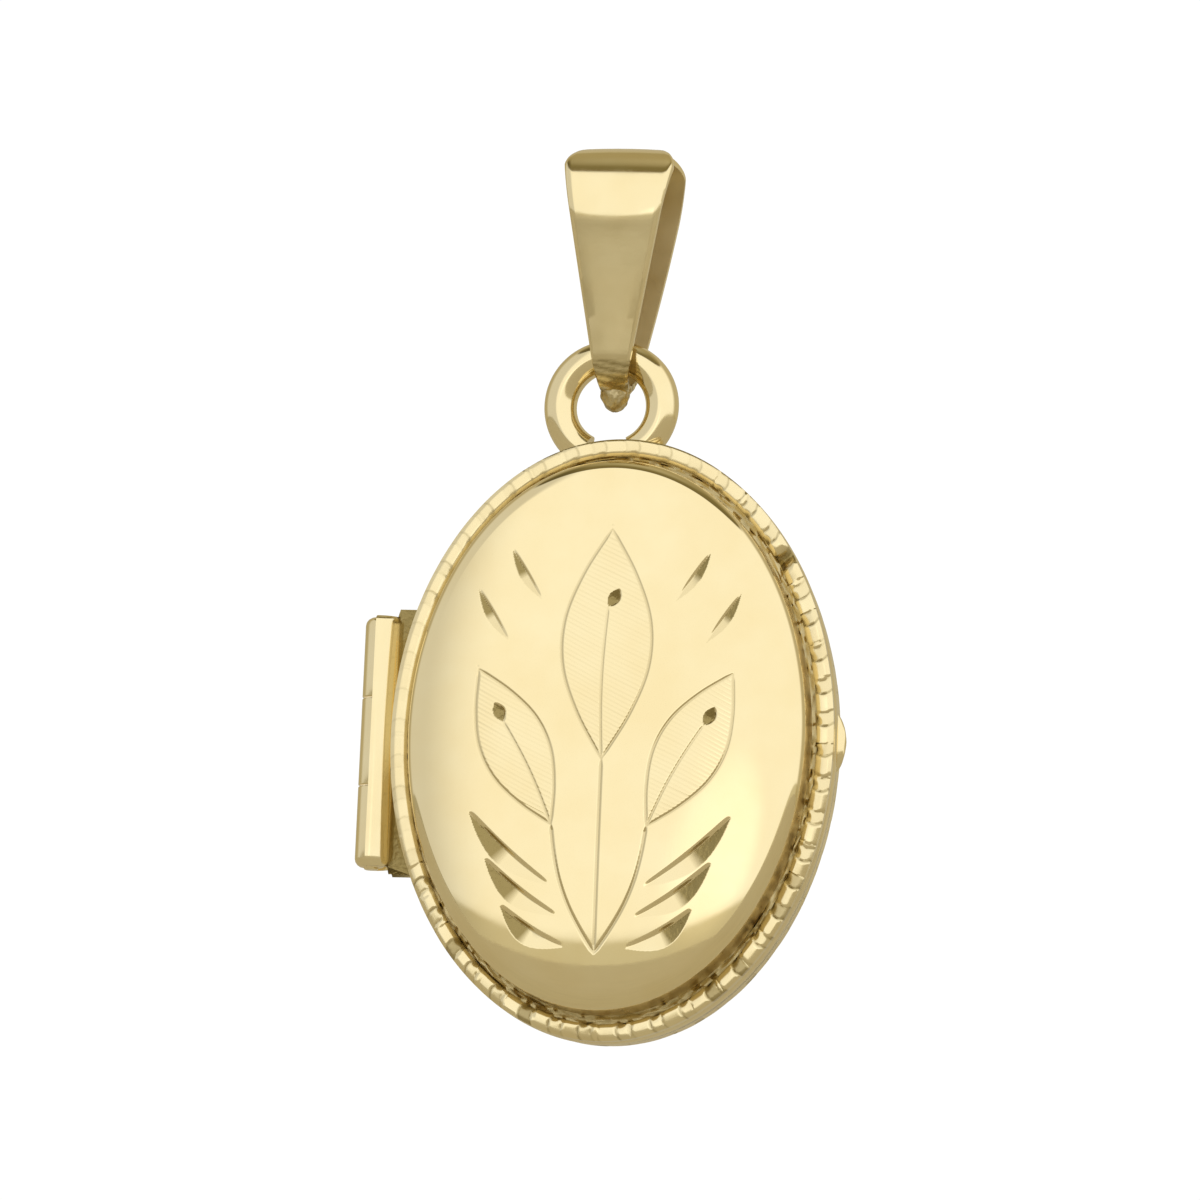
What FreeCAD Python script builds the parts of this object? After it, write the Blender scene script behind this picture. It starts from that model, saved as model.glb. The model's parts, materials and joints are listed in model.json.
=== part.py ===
"""Small oval gold locket on a tapered bail, as separate sub-parts.

Two pressed half shells are joined by a three-knuckle hinge on the left edge.
The rear half carries the hinge pin, the snap bezel, the hanging ring and the
rear border.  The front half swings open on the pin.  The bail is a folded
strap whose lower bend passes through the hanging ring.

Millimetres, +Z up, -Y to the front, +X to the right as seen from the front.
The origin is the centre of the bail's upper bend, where a chain runs along X.
"Depth" is always counted away from the parting plane between the two halves.
"""
import FreeCAD, Part
import math
import os
import Sketcher
from FreeCAD import Placement, Rotation, Vector

doc = FreeCAD.newDocument("locket")

FRONT = -1
REAR = 1

# name, value, what it drives
DIMENSIONS = [
    ("body_x", 0.6, "centre of the oval body, sideways"),
    ("body_z", -16.46, "centre of the oval body, height"),
    ("parting_y", -0.52, "plane where the two halves meet"),
    ("parting_gap", 0.03, "free gap between the closed halves"),
    ("rim_half_w", 6.65, "oval rim, half width"),
    ("rim_half_h", 9.0, "oval rim, half height"),
    ("flange_thick", 0.55, "thickness of each rim flange"),
    ("wall_half_w", 5.95, "dome wall, half width"),
    ("wall_half_h", 8.2, "dome wall, half height"),
    ("sheet_gauge", 0.3, "sheet thickness of the domes"),
    ("front_crown_depth", 2.38, "top of the front crown"),
    ("rear_crown_depth", 1.58, "top of the rear crown, before it is flattened"),
    ("crown_bulge", 0.75, "crown ellipsoid, radius along its depth"),
    ("crown_spread", 1.1547, "crown ellipsoid width over wall width"),
    ("rear_flat_depth", 1.48, "depth of the flat back"),
    ("shoulder_radius", 0.38, "rounding between wall and crown"),
    ("border_inset", 0.01, "plain edge outside the border wire"),
    ("border_wide", 0.45, "border wire, width"),
    ("front_border_high", 0.35, "front border wire, height"),
    ("rear_border_high", 0.5, "rear border wire, height"),
    ("border_gap", 0.22, "open joint where the border wire ends meet"),
    ("hinge_reach", 7.21, "hinge axis, left of the body centre"),
    ("hinge_drop", 0.12, "middle of the hinge, below the body centre"),
    ("hinge_length", 7.5, "whole hinge, end to end"),
    ("knuckle_radius", 0.5, "hinge tube, outside"),
    ("pin_radius", 0.22, "hinge pin"),
    ("pin_play", 0.02, "running clearance in the front knuckle"),
    ("front_knuckle_length", 2.6, "middle knuckle"),
    ("knuckle_gap", 0.04, "end gap between knuckles"),
    ("hood_radius", 0.75, "hinge cover bar, outside"),
    ("hood_clearance", 0.04, "cover bar to the other half's knuckles"),
    ("hood_wrap", 95.0, "angle each cover bar reaches round the axis"),
    ("hood_start", 3.0, "angle where the front cover bar begins"),
    ("web_thick", 0.5, "plate joining the hinge to the rim"),
    ("bezel_wall", 0.2, "snap bezel wall"),
    ("bezel_play", 0.04, "snap bezel to the front opening"),
    ("bezel_foot", 0.75, "how deep the bezel stands in the rear half"),
    ("bezel_lip", 0.4, "how far the bezel enters the front half"),
    ("nib_radius", 0.1, "snap wire"),
    ("nib_length", 0.7, "snap wire, length"),
    ("nib_height", 0.2, "snap wire, distance in front of the parting plane"),
    ("frame_near", 0.45, "photo frames, depth of the near face"),
    ("frame_far", 0.75, "photo frames, depth of the far face"),
    ("frame_wide", 0.78, "photo frames, width of the flat ring"),
    ("frame_play", 0.02, "photo frames, side clearance"),
    ("window_near", 0.76, "clear windows, depth of the near face"),
    ("window_far", 0.88, "clear windows, depth of the far face"),
    ("lip_rise", 0.15, "thumb lip, height above the body centre"),
    ("lip_length", 1.1, "thumb lip, length"),
    ("lip_proud", 0.2, "thumb lip, how far it stands out"),
    ("lip_deep", 0.45, "thumb lip, thickness"),
    ("ring_mean", 1.53, "hanging ring, mean radius"),
    ("ring_wire", 0.49, "hanging ring, wire radius"),
    ("ring_x", -0.1, "hanging ring centre, sideways"),
    ("ring_z", -6.26, "hanging ring centre, height"),
    ("pivot_z", -4.73, "centre of the bail's lower bend"),
    ("crest_radius", 1.2, "inside radius of the upper bend"),
    ("bend_radius", 0.83, "inside radius of the lower bend"),
    ("strap_gauge", 0.3, "bail strap thickness"),
    ("strap_top_half", 1.64, "bail, half width at the top"),
    ("strap_low_half", 0.53, "bail, half width at the lower end"),
    ("strap_low_z", -5.3, "height where the lower half width applies"),
    ("strap_corner", 0.6, "bail, rounding of the top corners"),
    ("solder_half_w", 0.46, "solder tail, half width"),
    ("solder_half_d", 0.4, "solder tail, half depth"),
    ("solder_drop", 0.8, "solder tail, half height"),
    ("solder_z", -5.62, "solder tail, height of its middle"),
]

sheet = doc.addObject("Spreadsheet::Sheet", "Dims")
for row, (alias, value, note) in enumerate(DIMENSIONS, start=1):
    sheet.set(f"A{row}", alias)
    sheet.set(f"B{row}", str(value))
    sheet.set(f"C{row}", note)
    sheet.setAlias(f"B{row}", alias)
doc.recompute()


def dim(alias):
    """Present value of one spreadsheet dimension."""
    return float(sheet.get(alias))


def drive(target, **bindings):
    """Bind properties of an object to expressions in the spreadsheet."""
    for path, expression in bindings.items():
        target.setExpression(path, expression)


def drive_base(target, across, depth, height):
    """Bind the position of an object to the spreadsheet."""
    target.setExpression(".Placement.Base.x", across)
    target.setExpression(".Placement.Base.y", depth)
    target.setExpression(".Placement.Base.z", height)


# --------------------------------------------------------------- boolean tools
def cut(name, base, tool):
    result = doc.addObject("Part::Cut", name)
    result.Base = base
    result.Tool = tool
    return result


def common(name, first, second):
    result = doc.addObject("Part::Common", name)
    result.Base = first
    result.Tool = second
    return result


def fuse(name, *pieces):
    result = doc.addObject("Part::MultiFuse", name)
    result.Shapes = list(pieces)
    result.Refine = True
    return result


def round_edges(name, base, edge_numbers, radius):
    result = doc.addObject("Part::Fillet", name)
    result.Base = base
    result.Edges = [(number, radius, radius) for number in edge_numbers]
    return result


def flat_edges(shape, depth, side):
    """Numbers of the edges lying in the plane at one depth."""
    level = dim("parting_y") + side * depth
    found = []
    for number, edge in enumerate(shape.Edges, start=1):
        box = edge.BoundBox
        if box.YLength < 0.01 and abs(box.Center.y - level) < 0.01:
            found.append(number)
    return found


# ---------------------------------------------------------------- oval shapes
STAND_OVAL = Rotation(Vector(1, 1, 1), 120).inverted()


def oval(name, side, half_w, half_h, near, far):
    """Oval block of the body between two depths on one side."""
    curve = doc.addObject("Part::Ellipse", name + "_curve")
    curve.Placement = Placement(Vector(0, 0, 0), STAND_OVAL)
    drive(curve, MajorRadius=half_h, MinorRadius=half_w)
    if side == FRONT:
        start = f"Dims.parting_y - ({far})"
    else:
        start = f"Dims.parting_y + ({near})"
    drive_base(curve, "Dims.body_x", start, "Dims.body_z")
    block = doc.addObject("Part::Extrusion", name)
    block.Base = curve
    block.DirMode = "Custom"
    block.Dir = Vector(0, 1, 0)
    block.Solid = True
    drive(block, LengthFwd=f"({far}) - ({near})")
    return block


def oval_ring(name, side, outer, inner, near, far):
    """Flat oval ring; outer and inner are (half width, half height)."""
    outside = oval(name + "_outside", side, outer[0], outer[1], near, far)
    overrun_near = f"({near}) - 0.1"
    overrun_far = f"({far}) + 0.1"
    opening = oval(name + "_opening", side, inner[0], inner[1], overrun_near, overrun_far)
    return cut(name, outside, opening)


def less(size, amount):
    """Oval size made smaller all round."""
    return tuple(f"{half} - ({amount})" for half in size)


RIM = ("Dims.rim_half_w", "Dims.rim_half_h")
WALL = ("Dims.wall_half_w", "Dims.wall_half_h")
OPENING = less(WALL, "Dims.sheet_gauge")
HALF_NAME = {FRONT: "front", REAR: "rear"}


def crown(name, side, top, skin):
    """Ellipsoid of the domed crown, drawn in by the skin thickness."""
    ball = doc.addObject("Part::Ellipsoid", name)
    drive(
        ball,
        Radius1=f"Dims.wall_half_h * Dims.crown_spread - {skin}",
        Radius2=f"Dims.wall_half_w * Dims.crown_spread - {skin}",
        Radius3=f"Dims.crown_bulge - {skin}",
    )
    middle = f"Dims.parting_y + {side} * ({top} - Dims.crown_bulge)"
    drive_base(ball, "Dims.body_x", middle, "Dims.body_z")
    return ball


def make_dome(side, limit):
    """Pressed shell of one half: straight wall, rounded shoulder, low crown."""
    node = HALF_NAME[side] + "_dome"
    top_name = HALF_NAME[side] + "_crown_depth"
    top = "Dims." + top_name
    block = oval(node + "_block", side, WALL[0], WALL[1], "Dims.flange_thick", limit)
    spring = f"({top} - Dims.crown_bulge)"
    below = less(WALL, "-0.3")
    stem = oval(node + "_stem", side, below[0], below[1], "0", spring)
    core = fuse(node + "_core", crown(node + "_crown", side, top, "0"), stem)
    solid = common(node + "_solid", block, core)
    doc.recompute()
    crown_drop = dim("crown_bulge") * (1 - math.sqrt(1 - 1 / dim("crown_spread") ** 2))
    shoulder_depth = dim(top_name) - crown_drop
    edges = flat_edges(solid.Shape, shoulder_depth, side)
    rounded = round_edges(node + "_rounded", solid, edges, dim("shoulder_radius"))
    straight = oval(
        node + "_straight", side, OPENING[0], OPENING[1], "Dims.flange_thick - 0.1", spring,
    )
    opened = cut(node + "_opened", rounded, straight)
    hollow_block = oval(
        node + "_hollow_block", side, OPENING[0], OPENING[1],
        f"{spring} - 0.05", f"{limit} - Dims.sheet_gauge",
    )
    lining = crown(node + "_lining", side, top, "Dims.sheet_gauge")
    hollow = common(node + "_hollow", hollow_block, lining)
    return cut(node, opened, hollow)


def make_border(side, joint_angle):
    """Applied border wire with the open joint where its ends meet."""
    node = HALF_NAME[side] + "_border"
    outer = less(RIM, "Dims.border_inset")
    inner = less(RIM, "Dims.border_inset + Dims.border_wide")
    high = HALF_NAME[side] + "_border_high"
    far = f"Dims.flange_thick + Dims.{high}"
    ring = oval_ring(node + "_ring", side, outer, inner, "Dims.flange_thick", far)
    doc.recompute()
    top = flat_edges(ring.Shape, dim("flange_thick") + dim(high), side)
    rounded = round_edges(node + "_rounded", ring, top, 0.12)
    joint = doc.addObject("Part::Box", node + "_joint")
    drive(joint, Length="4 * Dims.border_wide", Width=f"6 * Dims.{high}", Height="Dims.border_gap")
    angle = math.radians(joint_angle)
    along = Vector(
        dim("body_x") + (dim("rim_half_w") - 0.3) * math.cos(angle),
        dim("parting_y") - 3 * dim(high),
        dim("body_z") + (dim("rim_half_h") - 0.3) * math.sin(angle),
    )
    slope = math.degrees(
        math.atan2(dim("rim_half_w") * math.sin(angle), dim("rim_half_h") * math.cos(angle))
    )
    turn = Rotation(Vector(0, 1, 0), -slope)
    corner = Vector(-2 * dim("border_wide"), 0, -dim("border_gap") / 2)
    joint.Placement = Placement(along + turn.multVec(corner), turn)
    return cut(node, rounded, joint)


# ------------------------------------------------------------------ the hinge
HINGE_X = "Dims.body_x - Dims.hinge_reach"
HINGE_Z = "Dims.body_z - Dims.hinge_drop"
FRONT_HALF_LENGTH = "Dims.front_knuckle_length / 2"
END_START = "(Dims.front_knuckle_length / 2 + Dims.knuckle_gap)"
END_LENGTH = "(Dims.hinge_length / 2 - Dims.front_knuckle_length / 2 - Dims.knuckle_gap)"


def rod(name, radius, bottom, length):
    """Upright rod on the hinge axis; bottom is counted from the hinge's middle."""
    part = doc.addObject("Part::Cylinder", name)
    drive(part, Radius=radius, Height=length)
    drive_base(part, HINGE_X, "Dims.parting_y", f"{HINGE_Z} + ({bottom})")
    return part


def make_bearer(side, clear_spans, near):
    """Hinge plate with its cover bar, relieved over the other half's knuckles."""
    node = HALF_NAME[side] + "_hinge_bearer"
    begin = dim("hood_start") if side == FRONT else 0.0
    bar = rod(node + "_bar", "Dims.hood_radius", "-Dims.hinge_length / 2", "Dims.hinge_length")
    bar.Angle = dim("hood_wrap") - begin
    start_angle = -dim("hood_wrap") if side == FRONT else 0.0
    bar.Placement.Rotation = Rotation(Vector(0, 0, 1), start_angle)

    web = doc.addObject("Part::Box", node + "_web")
    drive(
        web,
        Length="2.6 * Dims.hood_radius",
        Width=f"Dims.web_thick - {near}",
        Height="Dims.hinge_length",
    )
    web_start = "Dims.parting_y - Dims.web_thick" if side == FRONT else "Dims.parting_y"
    drive_base(web, HINGE_X, web_start, f"{HINGE_Z} - Dims.hinge_length / 2")

    joined = fuse(node + "_joined", bar, web)
    seat = rod(
        node + "_seat", "Dims.knuckle_radius",
        "-Dims.hinge_length", "2 * Dims.hinge_length",
    )
    bored = cut(node + "_bored", joined, seat)
    for index, (bottom, length) in enumerate(clear_spans):
        relief = rod(
            f"{node}_relief_{index}", "Dims.knuckle_radius + Dims.hood_clearance", bottom, length,
        )
        bored = cut(f"{node}_relieved_{index}", bored, relief)
    body_block = oval(node + "_body", side, RIM[0], RIM[1], "-0.1", "2")
    return cut(node, bored, body_block)


def plane_of(body, role):
    """One of the body's own origin planes."""
    return next(plane for plane in body.Origin.OriginFeatures if plane.Role == role)


def sketch_on(body, name, role):
    sketch = body.newObject("Sketcher::SketchObject", name)
    sketch.AttachmentSupport = [(plane_of(body, role), "")]
    sketch.MapMode = "FlatFace"
    return sketch


def circle(sketch, radius, expression):
    """Circle about the sketch origin with a driven radius."""
    index = sketch.addGeometry(Part.Circle(Vector(0, 0, 0), Vector(0, 0, 1), radius), False)
    sketch.addConstraint(Sketcher.Constraint("Coincident", index, 3, -1, 1))
    fixed = sketch.addConstraint(Sketcher.Constraint("Radius", index, radius))
    sketch.setExpression(f"Constraints[{fixed}]", expression)


def make_knuckle(node, bottom, length, bore, bore_value):
    """Tube knuckle on the hinge axis with slightly broken end edges."""
    body = doc.addObject("PartDesign::Body", node)
    sketch = sketch_on(body, node + "_profile", "XY_Plane")
    circle(sketch, dim("knuckle_radius"), "Dims.knuckle_radius")
    circle(sketch, bore_value, bore)
    pad = body.newObject("PartDesign::Pad", node + "_tube")
    pad.Profile = sketch
    drive(pad, Length=length)
    drive_base(body, HINGE_X, "Dims.parting_y", f"{HINGE_Z} + ({bottom})")
    return body


def make_hinge_pin():
    """Plain pin with a low riveted button on each end."""
    node = "hinge_pin"
    body = doc.addObject("PartDesign::Body", node)
    shank_profile = sketch_on(body, "pin_profile", "XY_Plane")
    circle(shank_profile, dim("pin_radius"), "Dims.pin_radius")
    shank = body.newObject("PartDesign::Pad", "pin_shank")
    shank.Profile = shank_profile
    drive(shank, Length="Dims.hinge_length + 0.12")
    doc.recompute()
    ends = [
        f"Edge{number}"
        for number, edge in enumerate(shank.Shape.Edges, start=1)
        if edge.BoundBox.ZLength < 0.01
    ]
    button = body.newObject("PartDesign::Fillet", "pin_buttons")
    button.Base = (shank, ends)
    button.Radius = 0.06
    body.Tip = button
    drive_base(body, HINGE_X, "Dims.parting_y", f"{HINGE_Z} - Dims.hinge_length / 2 - 0.06")
    return body


# ----------------------------------------------------------- snap and settings
def make_snap_bezel(nib):
    """Thin oval collar fixed in the rear half; its lip enters the front half."""
    foot = oval(
        "snap_bezel_foot", REAR, OPENING[0], OPENING[1], "0", "Dims.bezel_foot",
    )
    lip_size = less(OPENING, "Dims.bezel_play")
    lip = oval("snap_bezel_lip", FRONT, lip_size[0], lip_size[1], "0", "Dims.bezel_lip")
    joined = fuse("snap_bezel_joined", foot, lip)
    inner = less(OPENING, "Dims.bezel_play + Dims.bezel_wall")
    hollow = oval("snap_bezel_hollow", REAR, inner[0], inner[1], "-1", "2")
    collar = cut("snap_bezel_collar", joined, hollow)
    return cut("snap_bezel", collar, nib)


def snap_wire(name, radius, length):
    """Upright wire at the right-hand side of the bezel lip."""
    wire = doc.addObject("Part::Cylinder", name)
    drive(wire, Radius=radius, Height=length)
    drive_base(
        wire,
        "Dims.body_x + Dims.wall_half_w - Dims.sheet_gauge - Dims.bezel_play / 4 - Dims.nib_radius",
        "Dims.parting_y - Dims.nib_height",
        f"Dims.body_z - ({length}) / 2",
    )
    return wire


def make_rear_rim():
    return oval_ring("rear_rim", REAR, RIM, OPENING, "0", "Dims.flange_thick")


def make_front_rim():
    """Front flange with the snap groove and the nail notch."""
    ring = oval_ring(
        "front_rim_ring", FRONT, RIM, OPENING, "Dims.parting_gap", "Dims.flange_thick",
    )
    groove = snap_wire("front_rim_groove", "Dims.nib_radius + 0.04", "Dims.nib_length + 0.1")
    grooved = cut("front_rim_grooved", ring, groove)
    nail = doc.addObject("Part::Cylinder", "front_rim_nail_tool")
    nail.Placement = Placement(Vector(0, 0, 0), Rotation(Vector(1, 0, 0), 90))
    drive(nail, Radius="0.28", Height="0.3")
    drive_base(
        nail,
        "Dims.body_x + Dims.rim_half_w + 0.17",
        "Dims.parting_y",
        "Dims.body_z + Dims.lip_rise + 0.42",
    )
    return cut("front_rim", grooved, nail)


def make_photo_frame(side, outer):
    node = HALF_NAME[side] + "_photo_frame"
    inner = less(outer, "Dims.frame_wide")
    return oval_ring(node, side, outer, inner, "Dims.frame_near", "Dims.frame_far")


def make_window(side, outer):
    node = HALF_NAME[side] + "_window"
    return oval(node, side, outer[0], outer[1], "Dims.window_near", "Dims.window_far")


def make_thumb_lip():
    """Small rounded lip on the rear rim for a thumbnail."""
    body = doc.addObject("PartDesign::Body", "thumb_lip_blank")
    sketch = sketch_on(body, "thumb_lip_profile", "XY_Plane")
    inside = 0.1
    corners = [
        (-inside, 0, None, None),
        (dim("lip_proud"), 0, "Dims.lip_proud", None),
        (dim("lip_proud"), dim("lip_deep"), "Dims.lip_proud", "Dims.lip_deep"),
        (-inside, dim("lip_deep"), None, "Dims.lip_deep"),
    ]
    for index in range(4):
        begin = corners[index]
        finish = corners[(index + 1) % 4]
        sketch.addGeometry(
            Part.LineSegment(Vector(begin[0], begin[1], 0), Vector(finish[0], finish[1], 0)), False
        )
    for index in range(4):
        sketch.addConstraint(Sketcher.Constraint("Coincident", index, 2, (index + 1) % 4, 1))
    sketch.addConstraint(Sketcher.Constraint("Horizontal", 0))
    sketch.addConstraint(Sketcher.Constraint("Horizontal", 2))
    sketch.addConstraint(Sketcher.Constraint("Vertical", 1))
    sketch.addConstraint(Sketcher.Constraint("Vertical", 3))
    sketch.addConstraint(Sketcher.Constraint("PointOnObject", 0, 1, -1))
    sketch.addConstraint(Sketcher.Constraint("DistanceX", 0, 1, -1, 1, inside))
    proud = sketch.addConstraint(
        Sketcher.Constraint("DistanceX", -1, 1, 1, 1, dim("lip_proud"))
    )
    deep = sketch.addConstraint(Sketcher.Constraint("DistanceY", 1, 1, 1, 2, dim("lip_deep")))
    sketch.setExpression(f"Constraints[{proud}]", "Dims.lip_proud")
    sketch.setExpression(f"Constraints[{deep}]", "Dims.lip_deep")
    block = body.newObject("PartDesign::Pad", "thumb_lip_block")
    block.Profile = sketch
    drive(block, Length="Dims.lip_length")
    doc.recompute()
    outside = dim("lip_proud")
    outer_edges = [
        f"Edge{number}"
        for number, edge in enumerate(block.Shape.Edges, start=1)
        if abs(edge.BoundBox.XMin - outside) < 0.01
    ]
    softened = body.newObject("PartDesign::Fillet", "thumb_lip_softened")
    softened.Base = (block, outer_edges)
    softened.Radius = 0.12
    body.Tip = softened
    drive_base(
        body,
        "Dims.body_x + Dims.rim_half_w",
        "Dims.parting_y",
        "Dims.body_z + Dims.lip_rise - Dims.lip_length / 2",
    )
    rim_block = oval("thumb_lip_seat", REAR, RIM[0], RIM[1], "-0.1", "1")
    return cut("thumb_lip", body, rim_block)


# ----------------------------------------------------------- ring and bail
def make_hanging_ring():
    """Plain wire ring let down onto the top edge of the rear rim."""
    wire = doc.addObject("Part::Torus", "hanging_ring_wire")
    wire.Placement = Placement(Vector(0, 0, 0), Rotation(Vector(1, 0, 0), 90))
    drive(wire, Radius1="Dims.ring_mean", Radius2="Dims.ring_wire")
    drive_base(wire, "Dims.ring_x", "0", "Dims.ring_z")
    rim_block = oval("hanging_ring_seat", REAR, RIM[0], RIM[1], "-1", "2")
    return cut("hanging_ring", wire, rim_block)


def strap_loop(sketch, upper, upper_expression, lower, lower_expression):
    """Closed loop of two bends joined by straight tangent legs."""
    pivot = dim("pivot_z")
    tilt = math.asin((upper - lower) / -pivot)
    axis = Vector(0, 0, 1)
    top_arc = Part.ArcOfCircle(Part.Circle(Vector(0, 0, 0), axis, upper), -tilt, math.pi + tilt)
    low_arc = Part.ArcOfCircle(
        Part.Circle(Vector(0, pivot, 0), axis, lower), math.pi + tilt, 2 * math.pi - tilt
    )
    left = Part.LineSegment(top_arc.EndPoint, low_arc.StartPoint)
    right = Part.LineSegment(low_arc.EndPoint, top_arc.StartPoint)
    first = sketch.addGeometry(top_arc, False)
    second = sketch.addGeometry(left, False)
    third = sketch.addGeometry(low_arc, False)
    fourth = sketch.addGeometry(right, False)
    sketch.addConstraint(Sketcher.Constraint("Tangent", first, 2, second, 1))
    sketch.addConstraint(Sketcher.Constraint("Tangent", second, 2, third, 1))
    sketch.addConstraint(Sketcher.Constraint("Tangent", third, 2, fourth, 1))
    sketch.addConstraint(Sketcher.Constraint("Tangent", fourth, 2, first, 1))
    sketch.addConstraint(Sketcher.Constraint("Coincident", first, 3, -1, 1))
    sketch.addConstraint(Sketcher.Constraint("PointOnObject", third, 3, -2))
    drop = sketch.addConstraint(Sketcher.Constraint("DistanceY", third, 3, -1, 1, -pivot))
    top_size = sketch.addConstraint(Sketcher.Constraint("Radius", first, upper))
    low_size = sketch.addConstraint(Sketcher.Constraint("Radius", third, lower))
    sketch.setExpression(f"Constraints[{drop}]", "-Dims.pivot_z")
    sketch.setExpression(f"Constraints[{top_size}]", upper_expression)
    sketch.setExpression(f"Constraints[{low_size}]", lower_expression)


def strap_side_waste(sketch, sign):
    """Waste beside one tapered edge of the bail, with the rounded top corner."""
    top = dim("crest_radius") + dim("strap_gauge")
    half = dim("strap_top_half")
    corner = dim("strap_corner")
    low_half = dim("strap_low_half")
    low = dim("strap_low_z")
    bottom = dim("pivot_z") - dim("bend_radius") - 2 * dim("strap_gauge")
    slope = (half - low_half) / (top - corner - low)
    foot = low_half - slope * (low - bottom)
    outer = 2 * half
    centre = Vector(sign * (half - corner), top - corner, 0)
    ball = Part.Circle(centre, Vector(0, 0, 1), corner)
    if sign > 0:
        arc = Part.ArcOfCircle(ball, 0, math.pi / 2)
    else:
        arc = Part.ArcOfCircle(ball, math.pi / 2, math.pi)
    crest_end = Vector(sign * (half - corner), top, 0)
    side_end = Vector(sign * half, top - corner, 0)
    points = [
        side_end,
        Vector(sign * foot, bottom, 0),
        Vector(sign * outer, bottom, 0),
        Vector(sign * outer, top + corner, 0),
        Vector(sign * (half - corner), top + corner, 0),
        crest_end,
    ]
    sketch.addGeometry(arc, False)
    for begin, finish in zip(points, points[1:]):
        sketch.addGeometry(Part.LineSegment(begin, finish), False)


def make_bail_strap():
    """One folded strap: side profile padded across, then trimmed to its taper."""
    node = "bail_strap"
    body = doc.addObject("PartDesign::Body", node)
    profile = sketch_on(body, "bail_side_profile", "YZ_Plane")
    strap_loop(
        profile,
        dim("crest_radius") + dim("strap_gauge"), "Dims.crest_radius + Dims.strap_gauge",
        dim("bend_radius") + dim("strap_gauge"), "Dims.bend_radius + Dims.strap_gauge",
    )
    strap_loop(
        profile,
        dim("crest_radius"), "Dims.crest_radius",
        dim("bend_radius"), "Dims.bend_radius",
    )
    band = body.newObject("PartDesign::Pad", "bail_band")
    band.Profile = profile
    band.SideType = "Symmetric"
    drive(band, Length="2 * Dims.strap_top_half + 0.2")
    taper = sketch_on(body, "bail_taper", "XZ_Plane")
    for sign in (1, -1):
        strap_side_waste(taper, sign)
    trim = body.newObject("PartDesign::Pocket", "bail_trim")
    trim.Profile = taper
    trim.Type = "ThroughAll"
    trim.SideType = "Symmetric"
    doc.recompute()
    body.Tip = trim
    return body


def make_bail_solder():
    """Tapering lump of solder left under the lower bend."""
    lump = doc.addObject("Part::Ellipsoid", "bail_solder_lump")
    drive(
        lump,
        Radius1="Dims.solder_drop", Radius2="Dims.solder_half_w", Radius3="Dims.solder_half_d",
    )
    drive_base(lump, "0", "0", "Dims.solder_z")
    bend = doc.addObject("Part::Cylinder", "bail_solder_bend")
    bend.Placement = Placement(Vector(0, 0, 0), Rotation(Vector(0, 1, 0), 90))
    drive(bend, Radius="Dims.bend_radius + Dims.strap_gauge", Height="4")
    drive_base(bend, "-2", "0", "Dims.pivot_z")
    return cut("bail_solder", lump, bend)


# ------------------------------------------------------------------ assembly
def build_sub_parts():
    """Every sub-part of the locket, keyed by its label."""
    end_spans = [
        (f"-{END_START} - {END_LENGTH} - 1", f"{END_LENGTH} + 1 + Dims.knuckle_gap"),
        (f"{END_START} - Dims.knuckle_gap", f"{END_LENGTH} + 1 + Dims.knuckle_gap"),
    ]
    middle_span = [
        (
            f"-{FRONT_HALF_LENGTH} - Dims.knuckle_gap",
            "Dims.front_knuckle_length + 2 * Dims.knuckle_gap",
        )
    ]
    nib = snap_wire("snap_nib", "Dims.nib_radius", "Dims.nib_length")
    front_frame = less(OPENING, "Dims.frame_play")
    rear_frame = less(OPENING, "Dims.bezel_play + Dims.bezel_wall + Dims.frame_play")
    loose_bore = "Dims.pin_radius + Dims.pin_play"
    made = [
        make_bail_strap(),
        make_bail_solder(),
        make_dome(REAR, "Dims.rear_flat_depth"),
        make_rear_rim(),
        make_border(REAR, 214),
        make_bearer(REAR, middle_span, "0"),
        make_knuckle(
            "rear_knuckle_upper", END_START, END_LENGTH, "Dims.pin_radius", dim("pin_radius"),
        ),
        make_knuckle(
            "rear_knuckle_lower", f"-{END_START} - {END_LENGTH}", END_LENGTH,
            "Dims.pin_radius", dim("pin_radius"),
        ),
        make_hinge_pin(),
        make_photo_frame(REAR, rear_frame),
        make_window(REAR, less(rear_frame, "0.04")),
        make_snap_bezel(nib),
        nib,
        make_thumb_lip(),
        make_hanging_ring(),
        make_dome(FRONT, "(Dims.front_crown_depth + 0.5)"),
        make_front_rim(),
        make_border(FRONT, 39),
        make_bearer(FRONT, end_spans, "Dims.parting_gap"),
        make_knuckle(
            "front_knuckle", f"-{FRONT_HALF_LENGTH}", "Dims.front_knuckle_length",
            loose_bore, dim("pin_radius") + dim("pin_play"),
        ),
        make_photo_frame(FRONT, front_frame),
        make_window(FRONT, less(front_frame, "0.16")),
    ]
    doc.recompute()
    return {part.Label: part for part in made}


def check_and_write(parts):
    """Refuse anything broken, then write one STEP file per sub-part."""
    for item in doc.Objects:
        if "Invalid" in item.State or "Error" in item.State:
            raise RuntimeError(f"{item.Label} did not build: {item.State}")
    os.makedirs("parts", exist_ok=True)
    for label, part in parts.items():
        shape = part.Shape
        if shape.isNull() or not shape.isValid() or len(shape.Solids) != 1:
            raise RuntimeError(f"{label} is not one valid solid")
        shape.exportStep(f"parts/{label}.step")


check_and_write(build_sub_parts())
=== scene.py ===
"""Looks of the oval gold locket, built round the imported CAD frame.

The engraved front, the cut border wires, the hinge bars, the bail and the ring
are fine meshes that stand for their plain CAD nodes.  The parts inside keep
their CAD shapes and get better materials.

Lengths below are millimetres and turn into metres when a mesh is made.
"Depth" is counted away from the parting plane between the two halves.
"""
import json
import math

import bpy
import numpy as np
from mathutils import Matrix, Vector


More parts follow.
